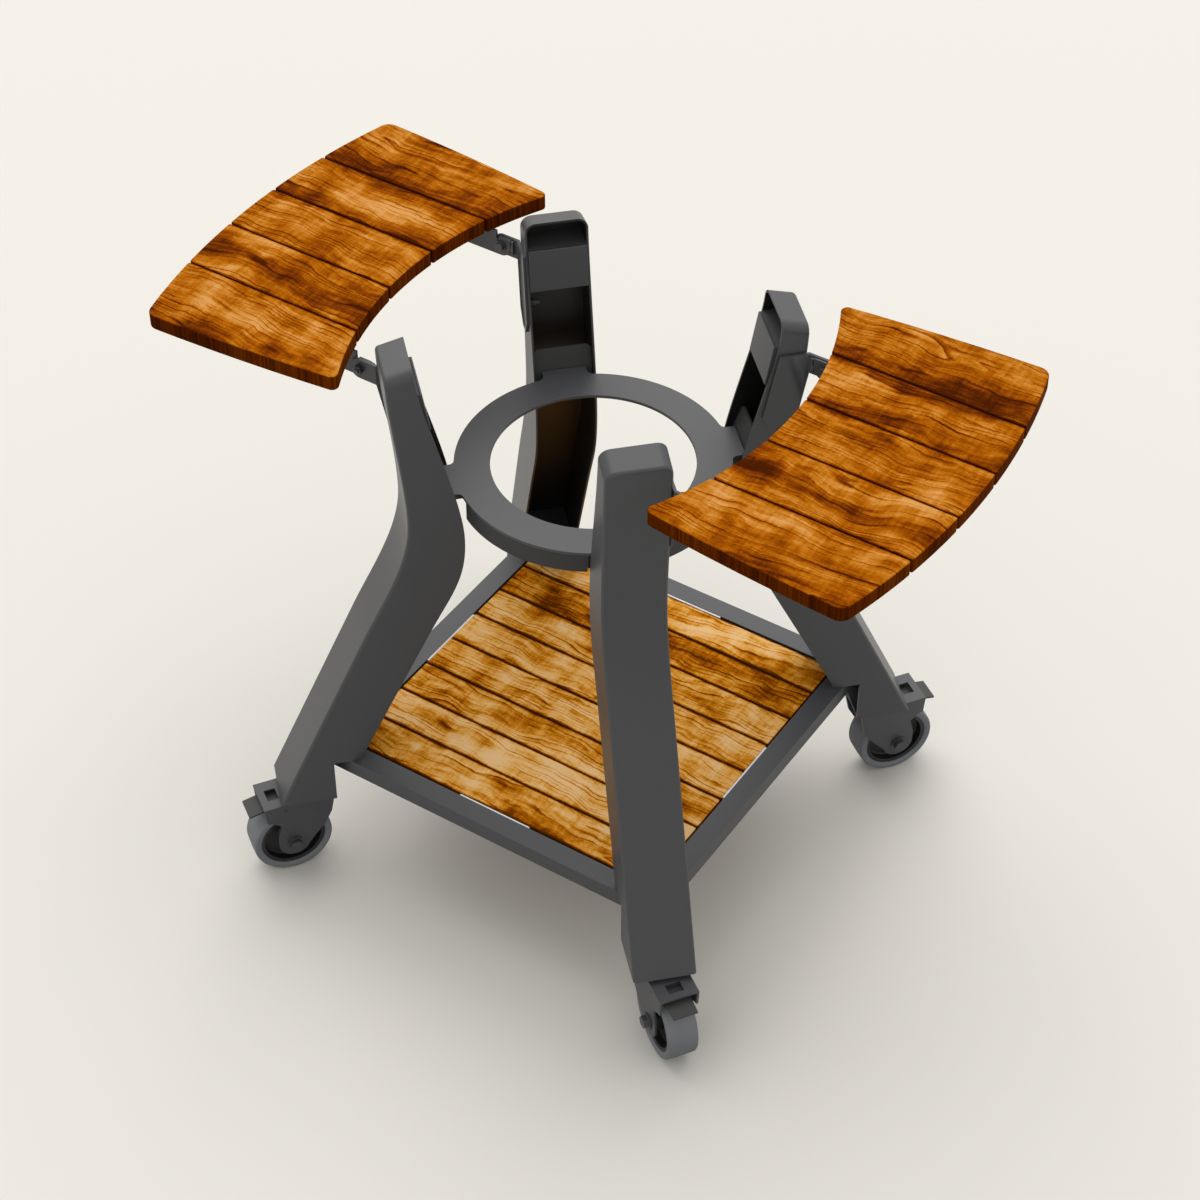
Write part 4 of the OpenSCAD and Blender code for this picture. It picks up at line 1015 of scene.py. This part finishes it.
# %% [markdown]
# ## Folded and cut parts
# The remaining steel keeps its CAD form. Sheet parts get a rounding of a few tenths of a millimetre, the
# tray frame a fuller one, and bolts a fine one. The kingpins' is finer still, because it also fills their
# inner corners, and a pin has to turn free in its fork.

# %% Softened nodes
SHEET_EDGE, BOLT_EDGE, PIN_EDGE = 0.0006, 0.0004, 0.0002
FORK_EDGE, FRAME_EDGE, BATTEN_EDGE, PLATE_EDGE, STRIP_EDGE = 0.0007, 0.0012, 0.0010, 0.0005, 0.0003

for name in LEGS:
    soften(f"caster_{name}_fork", FORK_EDGE)
    soften(f"caster_{name}_pedal", SHEET_EDGE)
    soften(f"caster_{name}_axle", PLATE_EDGE)
    soften("shelf_bracket_" + name, SHEET_EDGE)
for side in ("right", "left"):
    soften(side + "_shelf_arms", SHEET_EDGE)
    soften(side + "_shelf_rails", SHEET_EDGE)
    soften(side + "_shelf_pivot_bolts", BOLT_EDGE)
soften("tray_frame", FRAME_EDGE)
for node in ("tray_corner_plates", "tray_ledges", "tie_plates", "pad_brackets", "ring_brackets",
             "foot_plates"):
    soften(node, PLATE_EDGE)
soften("support_pads", FORK_EDGE)
soften("deck_battens", BATTEN_EDGE)
soften("caster_kingpins", PIN_EDGE)
soften("deck_edge_strips", STRIP_EDGE)
print("Finished pieces:", len(made))

# %% [markdown]
# ## What stays as it is
# Nuts and screws inside the channels and under the boards keep their CAD mesh and only take their finish.
# The nuts in the channels get painted shade, as black as the painted shade of the coat around them.

# %% Finishes of the kept nodes
kept = 0
for node, piece in frame["nodes"].items():
    if piece.hide_render:
        continue
    piece.data.materials.clear()
    piece.data.materials.append(painted_shade_nuts if node == "bracket_nuts" else finishes[slot_of_node[node]])
    kept += 1
print("CAD nodes kept:", kept)

# %% [markdown]
# ## Studio
# The stand stands on a wide warm-white floor under an even pale sky and one broad soft lamp behind it,
# whose mirror image lies on every level surface. A level surface gets about as much light as its own
# colour says. Floor and sky look pale to the camera and in reflections, but the floor sends only a little
# light back up, so the sides of the steel stay darker than its tops.

# %% Floor
FLOOR_TONE = tone(243, 239, 230)
FLOOR_BOUNCE = tone(108, 110, 108)
FLOOR_SIZE = 60.0

bm = bmesh.new()
bmesh.ops.create_grid(bm, x_segments=1, y_segments=1, size=FLOOR_SIZE / 2)
floor = new_object("floor", bm)
paint = Paint("studio floor")
rays = paint.add("LightPath")
seen = rays.field("Is Camera Ray") + rays.field("Is Glossy Ray") + rays.field("Is Transmission Ray")
floor_color = paint.blend_color(seen.least(1.0), (*FLOOR_BOUNCE, 1.0), (*FLOOR_TONE, 1.0))
paint.set(Base_Color=floor_color, Roughness=0.9, Specular_IOR_Level=0.0)
floor.data.materials.append(paint.material)
print("Floor:", FLOOR_SIZE, "m wide")

# %% [markdown]
# ## Sky and lamp
# The sky lights the stand evenly. Seen directly or in a reflection it has the floor's pale colour, so
# that the floor seems to run on. The lamp is a very large square far behind, which makes soft, wide
# shadows.

# %% Sky and lamp
SKY_TINT = (0.985, 0.99, 1.0, 1.0)
SKY_LEVEL = 0.62
LAMP_SIZE = 32.0
LAMP_PLACE = (-8.3, 10.6, 24.6)
LAMP_POWER = 4950.0

world = bpy.data.worlds.new("studio")
world.use_nodes = True
tree = world.node_tree
sky = tree.nodes["Background"]
sky.inputs["Color"].default_value = SKY_TINT
sky.inputs["Strength"].default_value = SKY_LEVEL
backdrop = node_in(tree, "ShaderNodeBackground", {"Color": (*FLOOR_TONE, 1.0), "Strength": 1.0})
rays = node_in(tree, "ShaderNodeLightPath").outputs
seen = node_in(tree, "ShaderNodeMath", {0: rays["Is Camera Ray"], 1: rays["Is Glossy Ray"]})
seen = node_in(tree, "ShaderNodeMath", {0: seen.outputs[0], 1: rays["Is Transmission Ray"]}, use_clamp=True)
either = node_in(tree, "ShaderNodeMixShader", {
    0: seen.outputs[0], 1: sky.outputs[0], 2: backdrop.outputs[0]})
tree.links.new(either.outputs[0], tree.nodes["World Output"].inputs["Surface"])
bpy.context.scene.world = world

lamp = bpy.data.objects.new("soft lamp", bpy.data.lights.new("soft lamp", "AREA"))
lamp.data.size = LAMP_SIZE
lamp.data.energy = LAMP_POWER
lamp.location = LAMP_PLACE
lamp.rotation_euler = (-Vector(LAMP_PLACE)).to_track_quat("-Z", "Y").to_euler()
bpy.context.scene.collection.objects.link(lamp)
bpy.context.scene.view_settings.view_transform = "Standard"
print("Lamp:", LAMP_POWER, "W, sky:", SKY_LEVEL)
